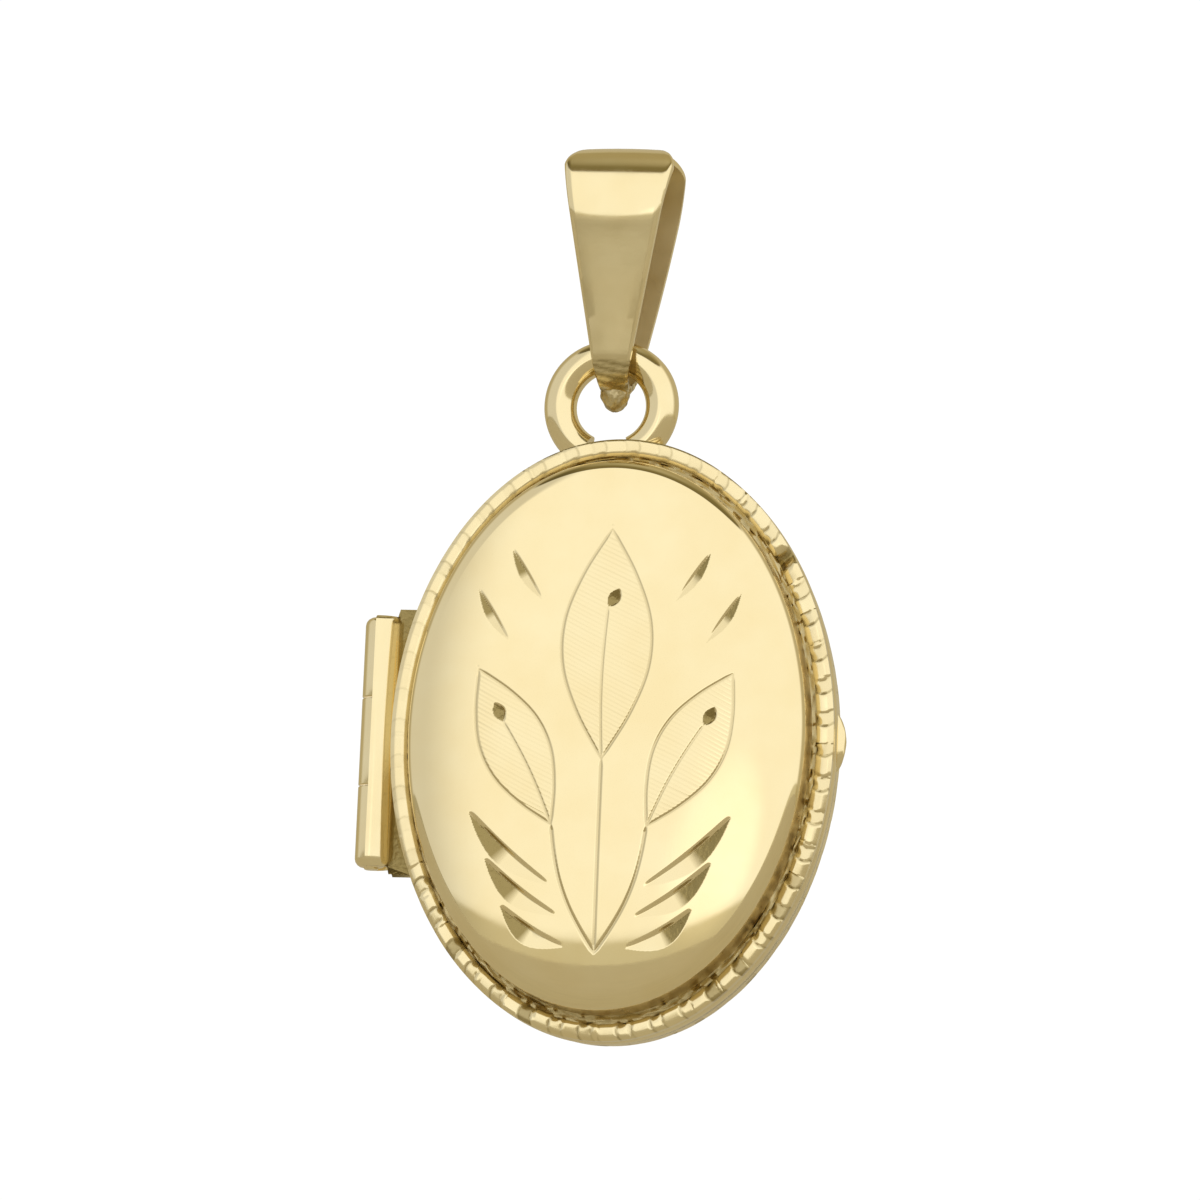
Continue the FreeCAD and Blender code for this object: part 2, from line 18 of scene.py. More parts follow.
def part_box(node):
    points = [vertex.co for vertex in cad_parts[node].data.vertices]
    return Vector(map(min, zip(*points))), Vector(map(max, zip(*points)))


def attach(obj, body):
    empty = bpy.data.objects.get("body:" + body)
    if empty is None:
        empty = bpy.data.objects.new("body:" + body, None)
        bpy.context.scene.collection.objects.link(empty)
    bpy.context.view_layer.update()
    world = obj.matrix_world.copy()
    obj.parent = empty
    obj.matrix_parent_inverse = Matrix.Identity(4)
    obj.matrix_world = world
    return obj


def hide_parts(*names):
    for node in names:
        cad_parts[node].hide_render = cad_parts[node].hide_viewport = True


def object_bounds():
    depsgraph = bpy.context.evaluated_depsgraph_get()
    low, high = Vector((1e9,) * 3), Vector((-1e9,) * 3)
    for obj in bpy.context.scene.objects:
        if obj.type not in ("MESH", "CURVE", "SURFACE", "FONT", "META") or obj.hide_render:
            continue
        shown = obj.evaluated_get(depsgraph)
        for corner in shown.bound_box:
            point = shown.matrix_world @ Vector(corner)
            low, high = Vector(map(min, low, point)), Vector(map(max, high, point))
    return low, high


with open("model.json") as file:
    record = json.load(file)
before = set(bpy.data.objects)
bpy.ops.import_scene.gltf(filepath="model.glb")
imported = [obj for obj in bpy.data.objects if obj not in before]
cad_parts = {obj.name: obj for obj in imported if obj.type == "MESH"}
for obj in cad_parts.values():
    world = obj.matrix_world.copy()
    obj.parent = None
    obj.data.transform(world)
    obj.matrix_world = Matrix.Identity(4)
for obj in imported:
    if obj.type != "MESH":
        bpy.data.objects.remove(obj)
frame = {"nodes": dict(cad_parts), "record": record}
cad_low, cad_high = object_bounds()

MM = 0.001
FRONT = -1
REAR = 1
HALF_NAME = {FRONT: "front", REAR: "rear"}
HALF_BODY = {FRONT: "front_half", REAR: "rear_half"}
rng = np.random.default_rng(18)


# ------------ dimensions
def node_box(name):
    """Corners of a CAD node in millimetres."""
    low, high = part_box(name)
    return np.array(low) / MM, np.array(high) / MM


def joint_point(name):
    """Position of a joint in millimetres."""
    joints = frame["record"]["behaviour"]["joints"]
    found = next(joint for joint in joints if joint["name"] == name)
    return np.array(found["pos_m"]) / MM


rim_low, rim_high = node_box("rear_rim")
BODY_X = (rim_low[0] + rim_high[0]) / 2
BODY_Z = (rim_low[2] + rim_high[2]) / 2
PARTING_Y = rim_low[1]
RIM = ((rim_high[0] - rim_low[0]) / 2, (rim_high[2] - rim_low[2]) / 2)
FLANGE = rim_high[1] - rim_low[1]
front_rim_high = node_box("front_rim")[1]
PARTING_GAP = PARTING_Y - front_rim_high[1]

dome_low, dome_high = node_box("front_dome")
WALL = ((dome_high[0] - dome_low[0]) / 2, (dome_high[2] - dome_low[2]) / 2)
FRONT_DEPTH = PARTING_Y - dome_low[1]
REAR_DEPTH = node_box("rear_dome")[1][1] - PARTING_Y
GAUGE = 0.3
UNDER_FLANGE = FLANGE - 0.02
OPENING = (WALL[0] - GAUGE, WALL[1] - GAUGE)

border_low, border_high = node_box("front_border")
BORDER = ((border_high[0] - border_low[0]) / 2, (border_high[2] - border_low[2]) / 2)
FRONT_BORDER_TOP = PARTING_Y - border_low[1]
REAR_BORDER_TOP = node_box("rear_border")[1][1] - PARTING_Y
BORDER_WIDE = 0.50

HINGE = joint_point("cover_hinge")
KNUCKLE = (node_box("front_knuckle")[1][0] - node_box("front_knuckle")[0][0]) / 2
HINGE_HALF = (node_box("front_hinge_bearer")[1][2] - node_box("front_hinge_bearer")[0][2]) / 2
HOOD = PARTING_Y - node_box("front_hinge_bearer")[0][1]
WEB_TOP = 0.32
KNUCKLE_INNER_SOFT = 0.03
KNUCKLE_OUTER_SOFT = 0.26

PIVOT_Z = joint_point("bail_swing")[2]
bail_low, bail_high = node_box("bail_strap")
CREST_OUT = bail_high[2]
BAIL_TOP_HALF = (bail_high[0] - bail_low[0]) / 2
BEND_OUT = PIVOT_Z - bail_low[2]
STRAP = 0.3

ring_low, ring_high = node_box("hanging_ring")
RING_WIRE = (ring_high[1] - ring_low[1]) / 2
RING_MEAN = (ring_high[0] - ring_low[0]) / 2 - RING_WIRE
RING_X = (ring_low[0] + ring_high[0]) / 2
RING_Z = ring_high[2] - RING_MEAN - RING_WIRE


# ------------ meshes
def make_piece(name, points, faces, body, material, stands_for=(), crease=35):
    """Mesh object from millimetre points, riding on one CAD body."""
    mesh = bpy.data.meshes.new(name)
    mesh.from_pydata((np.asarray(points) * MM).tolist(), [], faces)
    mesh.validate()
    mesh.update()
    mesh.shade_smooth()
    mesh.set_sharp_from_angle(angle=math.radians(crease))
    piece = bpy.data.objects.new(name, mesh)
    bpy.context.scene.collection.objects.link(piece)
    piece.data.materials.append(material)
    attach(piece, body)
    if stands_for:
        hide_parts(*stands_for)
    return piece


def tube_faces(rings, around, close_rings=True):
    """Quads joining consecutive closed loops of points."""
    faces = []
    last = rings if close_rings else rings - 1
    for ring in range(last):
        here = ring * around
        there = ((ring + 1) % rings) * around
        for step in range(around):
            after = (step + 1) % around
            faces.append((here + step, here + after, there + after, there + step))
    return faces


def capped_tube(rings, around):
    """Open tube faces with a flat cap at each end."""
    faces = tube_faces(rings, around, close_rings=False)
    faces.append(tuple(range(around - 1, -1, -1)))
    faces.append(tuple(range((rings - 1) * around, rings * around)))
    return faces


def flip(faces):
    return [tuple(reversed(face)) for face in faces]


def smooth_curve(points, per_span=8):
    """Catmull-Rom curve through the given points."""
    knots = np.array(points, float)
    padded = np.vstack([2 * knots[0] - knots[1], knots, 2 * knots[-1] - knots[-2]])
    samples = []
    for index in range(1, len(padded) - 2):
        before, begin, finish, after = padded[index - 1:index + 3]
        for step in range(per_span):
            t = step / per_span
            samples.append(
                0.5 * (
                    2 * begin
                    + (finish - before) * t
                    + (2 * before - 5 * begin + 4 * finish - after) * t ** 2
                    + (3 * begin - before - 3 * finish + after) * t ** 3
                )
            )
    samples.append(knots[-1])
    return np.array(samples)


def polyline_distance(x, z, curve):
    """Distance from each point to a polyline and how far along it that is."""
    best = np.full(x.shape, 1e9)
    along = np.zeros(x.shape)
    segments = len(curve) - 1
    for index in range(segments):
        ax, az = curve[index]
        bx, bz = curve[index + 1]
        span = (bx - ax) ** 2 + (bz - az) ** 2 + 1e-12
        t = np.clip(((x - ax) * (bx - ax) + (z - az) * (bz - az)) / span, 0, 1)
        gap = np.hypot(x - ax - t * (bx - ax), z - az - t * (bz - az))
        closer = gap < best
        best = np.where(closer, gap, best)
        along = np.where(closer, (index + t) / segments, along)
    return best, along


def inside_polygon(x, z, polygon):
    inside = np.zeros(x.shape, bool)
    for (ax, az), (bx, bz) in zip(polygon, np.roll(polygon, -1, axis=0)):
        crosses = (az > z) != (bz > z)
        with np.errstate(divide="ignore", invalid="ignore"):
            at = (bx - ax) * (z - az) / (bz - az) + ax
        inside ^= crosses & (x < at)
    return inside


# ------------ materials
def node_material(name):
    material = bpy.data.materials.new(name)
    material.use_nodes = True
    tree = material.node_tree
    shader = tree.nodes["Principled BSDF"]
    return material, tree, shader


def millimetre_coords(tree):
    """Object coordinates counted in millimetres."""
    coords = tree.nodes.new("ShaderNodeTexCoord")
    mapping = tree.nodes.new("ShaderNodeMapping")
    mapping.inputs["Scale"].default_value = (1 / MM, 1 / MM, 1 / MM)
    tree.links.new(coords.outputs["Object"], mapping.inputs["Vector"])
    return mapping.outputs["Vector"]


def noise(tree, vector, scale, detail=3.0, stretch=(1, 1, 1)):
    mapping = tree.nodes.new("ShaderNodeMapping")
    mapping.inputs["Scale"].default_value = stretch
    texture = tree.nodes.new("ShaderNodeTexNoise")
    texture.inputs["Scale"].default_value = scale
    texture.inputs["Detail"].default_value = detail
    tree.links.new(vector, mapping.inputs["Vector"])
    tree.links.new(mapping.outputs["Vector"], texture.inputs["Vector"])
    return texture.outputs["Fac"]


def remap(tree, value, low, high):
    """Spread noise, which stays mostly between 0.3 and 0.7, over low to high."""
    node = tree.nodes.new("ShaderNodeMapRange")
    node.inputs["From Min"].default_value = 0.3
    node.inputs["From Max"].default_value = 0.7
    node.inputs["To Min"].default_value = low
    node.inputs["To Max"].default_value = high
    tree.links.new(value, node.inputs["Value"])
    return node.outputs["Result"]


def mix_colour(tree, factor, first, second):
    node = tree.nodes.new("ShaderNodeMix")
    node.data_type = "RGBA"
    tree.links.new(factor, node.inputs["Factor"])
    for socket, colour in (("A", first), ("B", second)):
        target = next(i for i in node.inputs if i.name == socket and i.type == "RGBA")
        if isinstance(colour, tuple):
            target.default_value = (*colour, 1)
        else:
            tree.links.new(colour, target)
    return next(o for o in node.outputs if o.type == "RGBA")


def bump(tree, height, strength, distance, below=None):
    node = tree.nodes.new("ShaderNodeBump")
    node.inputs["Strength"].default_value = strength
    node.inputs["Distance"].default_value = distance * MM
    tree.links.new(height, node.inputs["Height"])
    if below is not None:
        tree.links.new(below, node.inputs["Normal"])
    return node.outputs["Normal"]


GOLD = (0.97, 0.83, 0.495)
GOLD_WARM = (0.945, 0.785, 0.44)
# Dark gold that the mesh attribute mixes in: painted shade, and the solder's own colour on the
# bail.
PAINTED_SHADE_AND_SOLDER_GOLD = (0.36, 0.275, 0.105)
PAINTED_SHADE_AND_SOLDER_ROUGHNESS = 0.22
GRAIN_POWER = 4.0


def gold(name, rough=(0.07, 0.13), scratch=0.10, ripple=0.12, with_painted_shade_and_solder=False,
         light=GOLD, warm=GOLD_WARM):
    """Yellow gold with faint wear: colour drift, uneven polish, hair scratches.

    A gold built for it also darkens and roughens with a mesh attribute: the darkening is painted
    shade, and on the bail's lowest part the solder's own darker colour.
    """
    material, tree, shader = node_material(name)
    position = millimetre_coords(tree)
    colour = mix_colour(tree, remap(tree, noise(tree, position, 0.55), 0, 1), light, warm)
    polish = remap(tree, noise(tree, position, 1.7, 4.0), *rough)
    ripples = bump(tree, noise(tree, position, 0.8, 2.0), ripple, 0.03)
    hairs = noise(tree, position, 1.0, 5.0, stretch=(9, 9, 0.9))
    normal = bump(tree, hairs, scratch, 0.004, ripples)
    if with_painted_shade_and_solder:
        painted_shade_and_solder = tree.nodes.new("ShaderNodeAttribute")
        painted_shade_and_solder.attribute_name = "painted_shade_and_solder"
        colour = mix_colour(tree, painted_shade_and_solder.outputs["Fac"], colour, PAINTED_SHADE_AND_SOLDER_GOLD)
        matt = tree.nodes.new("ShaderNodeMath")
        matt.operation = "MULTIPLY_ADD"
        matt.inputs[1].default_value = PAINTED_SHADE_AND_SOLDER_ROUGHNESS
        tree.links.new(painted_shade_and_solder.outputs["Fac"], matt.inputs[0])
        tree.links.new(polish, matt.inputs[2])
        polish = matt.outputs["Value"]
        normal = bump(tree, noise(tree, position, 7.0, 4.0), 0.5, 0.03, normal)
        grain = tree.nodes.new("ShaderNodeMath")
        grain.operation = "POWER"
        grain.inputs[1].default_value = GRAIN_POWER
        tree.links.new(painted_shade_and_solder.outputs["Fac"], grain.inputs[0])
        tree.links.new(grain.outputs["Value"], normal.node.inputs["Strength"])
    tree.links.new(colour, shader.inputs["Base Color"])
    tree.links.new(polish, shader.inputs["Roughness"])
    shader.inputs["Metallic"].default_value = 1.0
    tree.links.new(normal, shader.inputs["Normal"])
    return material


def solder_gold():
    """Matt, pitted gold solder."""
    material, tree, shader = node_material("rough_solder_gold")
    position = millimetre_coords(tree)
    grain = noise(tree, position, 5.0, 6.0)
    colour = mix_colour(tree, remap(tree, grain, 0, 1), (0.80, 0.67, 0.38), (0.46, 0.36, 0.17))
    tree.links.new(colour, shader.inputs["Base Color"])
    tree.links.new(remap(tree, grain, 0.22, 0.42), shader.inputs["Roughness"])
    shader.inputs["Metallic"].default_value = 1.0
    tree.links.new(bump(tree, grain, 0.7, 0.05), shader.inputs["Normal"])
    return material


def clear_sheet():
    """Thin clear plastic with faint scuffs."""
    material, tree, shader = node_material("clear_plastic")
    position = millimetre_coords(tree)
    scuffs = noise(tree, position, 2.0, 5.0)
    tree.links.new(remap(tree, scuffs, 0.04, 0.14), shader.inputs["Roughness"])
    tree.links.new(bump(tree, scuffs, 0.08, 0.01), shader.inputs["Normal"])
    shader.inputs["Base Color"].default_value = (0.97, 0.97, 0.95, 1)
    shader.inputs["IOR"].default_value = 1.48
    shader.inputs["Transmission Weight"].default_value = 1.0
    return material


def pale_floor():
    material, tree, shader = node_material("pale_floor")
    position = millimetre_coords(tree)
    drift = noise(tree, position, 0.02, 2.0)
    colour = mix_colour(tree, remap(tree, drift, 0, 1), (0.78, 0.74, 0.63), (0.74, 0.70, 0.60))
    tree.links.new(colour, shader.inputs["Base Color"])
    tree.links.new(remap(tree, drift, 0.75, 0.85), shader.inputs["Roughness"])
    return material


# The engraved, bright-cut and worked golds take painted shade from the mesh attribute.
ENGRAVED_GOLD = gold("engraved_gold", rough=(0.02, 0.045), scratch=0.03, ripple=0.015,
                     with_painted_shade_and_solder=True)
POLISHED_GOLD = gold("polished_gold")
WIRE_GOLD = gold("bright_cut_gold", rough=(0.10, 0.2), scratch=0.2, with_painted_shade_and_solder=True)
WORKED_GOLD = gold("worked_gold", rough=(0.09, 0.16), scratch=0.2, with_painted_shade_and_solder=True)
WALL_GOLD = gold("satin_wall_gold", rough=(0.26, 0.36), scratch=0.3,
                 light=(0.90, 0.76, 0.44), warm=(0.80, 0.66, 0.37))
INSIDE_GOLD = gold("unpolished_inside_gold", rough=(0.42, 0.55), scratch=0.4,
                   light=(0.80, 0.67, 0.38), warm=(0.70, 0.57, 0.30))
FITTING_GOLD = gold("satin_fitting_gold", rough=(0.18, 0.28), scratch=0.35)
SOLDER = solder_gold()
CLEAR = clear_sheet()


# ------------ oval surfaces
def oval_points(size, depth, side, angles):
    """Points of one oval at one depth."""
    return np.column_stack([
        BODY_X + size[0] * np.cos(angles),
        np.full(angles.shape, 1.0) * (PARTING_Y + side * depth),
        BODY_Z + size[1] * np.sin(angles),
    ])


def even_angles(size, count):
    """Ellipse angles spaced evenly along its edge."""
    dense = np.linspace(0, 2 * math.pi, 7201)
    steps = np.hypot(size[0] * np.sin(dense), size[1] * np.cos(dense))
    reached = np.concatenate([[0], np.cumsum((steps[1:] + steps[:-1]) / 2)])
    wanted = np.arange(count) / count * reached[-1]
    return np.interp(wanted, reached, dense)


CROWN_SPREAD = 1.1547  # crown ellipsoid's width over the wall's width
CROWN_BULGE = 0.75  # its radius along the depth
SHOULDER = 0.055  # shoulder's width as a share of the wall's size
SHOULDER_DEPTH = 0.4
WALL_TOP = 1.75  # depth at which the satin wall ends
ENGRAVED_SHARE = 0.88  # the engraving stops short of the shoulder


def crown_drop(reach):
    """How far the crown lies below its top at a share of the wall's size."""
    return CROWN_BULGE * (1 - np.sqrt(1 - (reach / CROWN_SPREAD) ** 2))


def dome_profile(share):
    """Reach, drop and share of the foot, from the dome's top (0) to its foot (1)."""
    crown_end = 0.90
    shoulder_end = 0.975
    flat = 1 - SHOULDER
    start = math.radians(12)
    turn = start + (math.pi / 2 - start) * np.clip(
        (share - crown_end) / (shoulder_end - crown_end), 0, 1
    )
    width = 1 - math.sin(start)
    reach = np.where(
        share < crown_end,
        share / crown_end * flat,
        flat + SHOULDER * (np.sin(turn) - math.sin(start)) / width,
    )
    edge = crown_drop(flat)
    drop = np.where(
        share < crown_end,
        crown_drop(np.minimum(share / crown_end * flat, flat)),
        edge + SHOULDER_DEPTH * (math.cos(start) - np.cos(turn)),
    )
    foot = np.clip((share - shoulder_end) / (1 - shoulder_end), 0, 1)
    return reach, drop, foot


def oval_grid(across, up):
    """Square grid mapped onto a disc: unit directions, shares, faces, edge loop."""
    u, v = np.meshgrid(np.linspace(-1, 1, across), np.linspace(-1, 1, up))
    gx = u * np.sqrt(1 - v ** 2 / 2)
    gz = v * np.sqrt(1 - u ** 2 / 2)
    share = np.clip(np.hypot(gx, gz), 0, 1)
    safe = np.maximum(np.hypot(gx, gz), 1e-9)
    number = np.arange(across * up).reshape(up, across)
    corners = np.stack(
        [number[:-1, :-1], number[:-1, 1:], number[1:, 1:], number[1:, :-1]], axis=-1
    )
    faces = corners.reshape(-1, 4).tolist()
    loop = np.concatenate([
        number[0, :-1], number[:-1, -1], number[-1, :0:-1], number[:0:-1, 0],
    ])
    return (gx / safe).ravel(), (gz / safe).ravel(), share.ravel(), faces, loop


def dome_shell(side, across, up, top_depth, carve=None, flat=None):
    """Closed skin of one dome; carve adds engraving and its painted shade, flat limits the depth.
    """
    dx, dz, share, faces, loop = oval_grid(across, up)
    reach, drop, foot = dome_profile(share)
    depth = top_depth - drop
    if flat is not None:
        soft = 0.03
        depth = flat - soft * np.logaddexp(0, (flat - depth) / soft)
    depth = depth + (UNDER_FLANGE - depth) * foot
    x = WALL[0] * reach * dx
    z = WALL[1] * reach * dz
    painted_shade_and_solder = np.zeros(x.shape)
    if carve is not None:
        # the carve gives the engraving's depth and its painted shade
        cut, painted_shade_and_solder = carve(x, z)
        depth = depth - cut * (share < ENGRAVED_SHARE)
    outer = np.column_stack([BODY_X + x, PARTING_Y + side * depth, BODY_Z + z])
    angles = np.arctan2(dz[loop], dx[loop])
    points = [outer]
    rings = 14
    inner_top = (top_depth if flat is None else flat) - GAUGE
    for index in range(rings):
        if index == 0:
            size, level = OPENING, UNDER_FLANGE
        else:
            part = (index - 1) / (rings - 1)
            bend = math.sin(part * math.pi / 2)
            shrink = 1 - 0.97 * part ** 2
            size = (OPENING[0] * shrink, OPENING[1] * shrink)
            level = FLANGE + (inner_top - FLANGE) * (0.62 + 0.38 * bend)
        points.append(oval_points(size, level, side, angles))
    base = len(outer)
    count = len(loop)
    tip = base + rings * count
    points.append(np.array([[BODY_X, PARTING_Y + side * inner_top, BODY_Z]]))
    for step in range(count):
        after = (step + 1) % count
        faces.append((int(loop[after]), int(loop[step]), base + step, base + after))
    for index in range(rings - 1):
        here = base + index * count
        there = here + count
        for step in range(count):
            after = (step + 1) % count
            faces.append((here + after, here + step, there + step, there + after))
    last = base + (rings - 1) * count
    for step in range(count):
        faces.append((last + (step + 1) % count, last + step, tip))
    if side == REAR:
        faces = flip(faces)
    every = np.vstack(points)
    painted_shade_and_solder_values = np.zeros(len(every))
    painted_shade_and_solder_values[:base] = painted_shade_and_solder
    return every, faces, painted_shade_and_solder_values


# ------------ engraving
# A plain mirrored spray of leaves and cuts, laid out by formula.  Places are shares
# of the dome wall's half width and half height, counted right and up from its middle.
SPRAY_ROOT = (0.0, -0.80)
# base, tip, width, how far the stem bows out
TOP_LEAF = ((0.0, -0.10), (0.0, 0.74), 2.7, 0.0)
SIDE_LEAF = ((0.24, -0.34), (0.64, 0.22), 2.0, 0.30)
# half width, slope of the cut, painted shade of the cut at its start and end
LEAF_EDGE = (0.055, 0.30, 0.45, 0.35)
LEAF_RIB = (0.050, 0.25, 0.45, 0.20)
STEM = (0.065, 0.30, 0.30, 0.45)
RIB_SHARE = 0.66
# slope, far-side width, painted shade at the head and tail
BRIGHT_CUT = (0.34, 0.10, 1.0, 0.05)
SMALL_CUT = (0.30, 0.05, 1.0, 0.2)
BERRY_CUT = (0.35, 0.04, 1.0, 1.0)
LOW_CUTS = 3
HIGH_CUTS = 2
HATCH_STEP = 0.125
HATCH_SLOPE = -0.48
HATCH_DEPTH = 0.006
# painted shade in the hatch strokes
HATCH_PAINTED_SHADE = 0.24


def wall_point(shares, hand=1):
    """Place on the dome in millimetres; hand -1 mirrors it to the left."""
    return np.array([hand * shares[0] * WALL[0], shares[1] * WALL[1]])


def bowed(start, end, bow, count=6):
    """Points of a curve that stands off its straight line by bow in the middle."""
    run = end - start
    sideways = np.array([-run[1], run[0]]) / np.hypot(*run)
    along = np.linspace(0, 1, count)[:, None]
    return start + along * run + bow * np.sin(math.pi * along) * sideways


def leaf_cuts(hand, plan):
    """Outline, lines and berry cut of one leaf on its stem."""
    base, tip = wall_point(plan[0], hand), wall_point(plan[1], hand)
    width, stem_bow = plan[2:]
    right = bowed(base, tip, -width / 2)
    left = bowed(base, tip, width / 2)
    rib_end = base + RIB_SHARE * (tip - base)
    lines = [
        (right, *LEAF_EDGE), (left, *LEAF_EDGE),
        (bowed(base, rib_end, 0.10 * hand), *LEAF_RIB),
        (bowed(wall_point(SPRAY_ROOT), base, -stem_bow * hand), *STEM),
    ]
    berry_end = rib_end + np.array([0.30 * hand, 0.55])
    berry = (bowed(rib_end, berry_end, 0.16), bowed(rib_end, berry_end, -0.16), *BERRY_CUT)
    return np.vstack([right, left[::-1]]), lines, berry


def side_cuts(hand):
    """Bright cuts below the side leaf and small ones above it."""
    cuts = []
    for index in range(LOW_CUTS):
        head = wall_point((0.66 - 0.09 * index, -0.30 - 0.17 * index), hand)
        tail = wall_point((0.24 - 0.04 * index, -0.56 - 0.11 * index), hand)
        cuts.append((bowed(head, tail, 0.55 * hand), bowed(head, tail, 0.08 * hand), *BRIGHT_CUT))
    for index in range(HIGH_CUTS):
        head = wall_point((0.50 + 0.16 * index, 0.66 - 0.15 * index), hand)
        tail = wall_point((0.34 + 0.16 * index, 0.48 - 0.15 * index), hand)
        cuts.append((bowed(head, tail, 0.22 * hand), bowed(head, tail, -0.02 * hand), *SMALL_CUT))
    return cuts


def near_curve(x, z, curve, margin):
    """Indices of the points close enough to a curve to matter."""
    low = curve.min(0) - margin
    high = curve.max(0) + margin
    return np.nonzero((x > low[0]) & (x < high[0]) & (z > low[1]) & (z < high[1]))[0]


def carve_lines(x, z, depth, painted_shade_and_solder, lines):
    """V-shaped grooves that taper at both ends, darkened along them with painted shade."""
    for points, half, slope, dark_start, dark_end in lines:
        curve = smooth_curve(points)
        picked = near_curve(x, z, curve, 0.3)
        gap, along = polyline_distance(x[picked], z[picked], curve)
        taper = half * np.clip(np.minimum(along, 1 - along) * 14 + 0.45, 0, 1)
        groove = slope * np.clip(taper - gap, 0, None)
        depth[picked] = np.maximum(depth[picked], groove)
        # painted shade along the groove
        painted_dark = dark_start + (dark_end - dark_start) * along
        share = np.clip((taper - gap) / taper, 0, 1) ** 0.5 * painted_dark
        painted_shade_and_solder[picked] = np.maximum(painted_shade_and_solder[picked], share)


def carve_cuts(x, z, depth, painted_shade_and_solder, cuts):
    """Bright cuts: a wide facet falling from edge to keel, and a steep far side.

    Towards the tail a cut fades to its tail's painted shade and gets shallower; the painted shade
    stands for the dark reflections in the polished cuts.
    """
    dark_end, dark_span = 0.42, 0.12
    deep_end, deep_span = 0.25, 0.55
    depth_loss = 0.65
    for edge_points, keel_points, slope, far, dark_head, dark_tail in cuts:
        edge = smooth_curve(edge_points)
        keel = smooth_curve(keel_points)
        picked = near_curve(x, z, np.vstack([edge, keel]), 0.25)
        px, pz = x[picked], z[picked]
        from_edge, along = polyline_distance(px, pz, edge)
        from_keel, _ = polyline_distance(px, pz, keel)
        inside = inside_polygon(px, pz, np.vstack([edge, keel[::-1]]))
        facet = slope * from_edge
        width = np.clip(from_edge - from_keel, 0, None)
        steep = slope * width * np.clip(1 - from_keel / far, 0, 1)
        fade = np.clip((along - dark_end) / dark_span, 0, 1)
        tail = np.clip((along - deep_end) / deep_span, 0, 1)
        cut = np.where(inside, facet, steep) * (1 - depth_loss * tail * (dark_head - dark_tail))
        depth[picked] = np.maximum(depth[picked], cut)
        # painted shade over the cut
        painted_dark = dark_head + (dark_tail - dark_head) * fade
        painted_shade_and_solder[picked] = np.where(inside, painted_dark, painted_shade_and_solder[picked])


def carve_hatching(x, z, depth, painted_shade_and_solder, outlines):
    """Fine parallel shading strokes inside each leaf, darkened with painted shade."""
    for outline in outlines:
        polygon = smooth_curve(np.vstack([outline, outline[:1]]))
        picked = near_curve(x, z, polygon, 0.4)
        px, pz = x[picked], z[picked]
        inside = inside_polygon(px, pz, polygon)
        across = (pz - HATCH_SLOPE * px) / math.hypot(1, HATCH_SLOPE)
        wander = 0.02 * np.sin(px * 1.9 + pz * 0.7)
        phase = (across + wander) / HATCH_STEP
        row = np.floor(phase)
        strength = 0.72 + 0.28 * np.sin(row * 12.9898) * np.sin(row * 4.1)
        patch = 0.75 + 0.25 * np.sin(px * 1.3 + 1) * np.cos(pz * 1.1)
        stroke = np.clip(1 - np.abs(phase - row - 0.5) / 0.24, 0, 1)
        line = inside * strength * patch * stroke
        depth[picked] += HATCH_DEPTH * line
        # painted shade in the strokes
        painted_shade_and_solder[picked] = np.maximum(painted_shade_and_solder[picked], HATCH_PAINTED_SHADE * line)


def carve_foliage(x, z):
    """Engraving depth and painted shade at each point of the front dome."""
    outlines, lines, cuts = [], [], []
    for hand, plan in ((1, TOP_LEAF), (1, SIDE_LEAF), (-1, SIDE_LEAF)):
        outline, leaf_lines, berry = leaf_cuts(hand, plan)
        outlines.append(outline)
        lines += leaf_lines
        cuts.append(berry)
    cuts += side_cuts(1) + side_cuts(-1)
    depth = np.zeros(x.shape)
    painted_shade_and_solder = np.zeros(x.shape)
    carve_hatching(x, z, depth, painted_shade_and_solder, outlines)
    carve_lines(x, z, depth, painted_shade_and_solder, lines)
    carve_cuts(x, z, depth, painted_shade_and_solder, cuts)
    return depth, painted_shade_and_solder


# Stores per-point painted shade (and the bail's solder darkening) on a mesh.
def set_painted_shade_and_solder(piece, painted_shade_and_solder_values):
    attribute = piece.data.attributes.new("painted_shade_and_solder", "FLOAT", "POINT")
    attribute.data.foreach_set("value", painted_shade_and_solder_values.astype(np.float32))


def satin_wall(piece, side):
    """Satin finish on the upright wall of a dome."""
    piece.data.materials.append(WALL_GOLD)
    for polygon in piece.data.polygons:
        depth = side * (polygon.center.y / MM - PARTING_Y)
        upright = abs(polygon.normal.y) < 0.25
        polygon.material_index = int(upright and depth < WALL_TOP)


def make_front_dome():
    points, faces, painted_shade_and_solder_values = dome_shell(FRONT, 480, 660, FRONT_DEPTH, carve=carve_foliage)
    piece = make_piece(
        "front_dome_engraved", points, faces, "front_half",
        ENGRAVED_GOLD, ["front_dome"], crease=60,
    )
    satin_wall(piece, FRONT)
    set_painted_shade_and_solder(piece, painted_shade_and_solder_values)


def make_rear_dome():
    points, faces, _ = dome_shell(REAR, 150, 200, REAR_DEPTH + 0.1, flat=REAR_DEPTH)
    make_piece(
        "rear_dome_plain", points, faces, "rear_half",
        POLISHED_GOLD, ["rear_dome"], crease=60,
    )


# ------------ rims and borders
REAR_TRIM = 0.08  # the rear flange and border show a little smaller
RIM_POINTS = 960
PATCH_STEP = 6
RECESS_DEPTH = 0.05


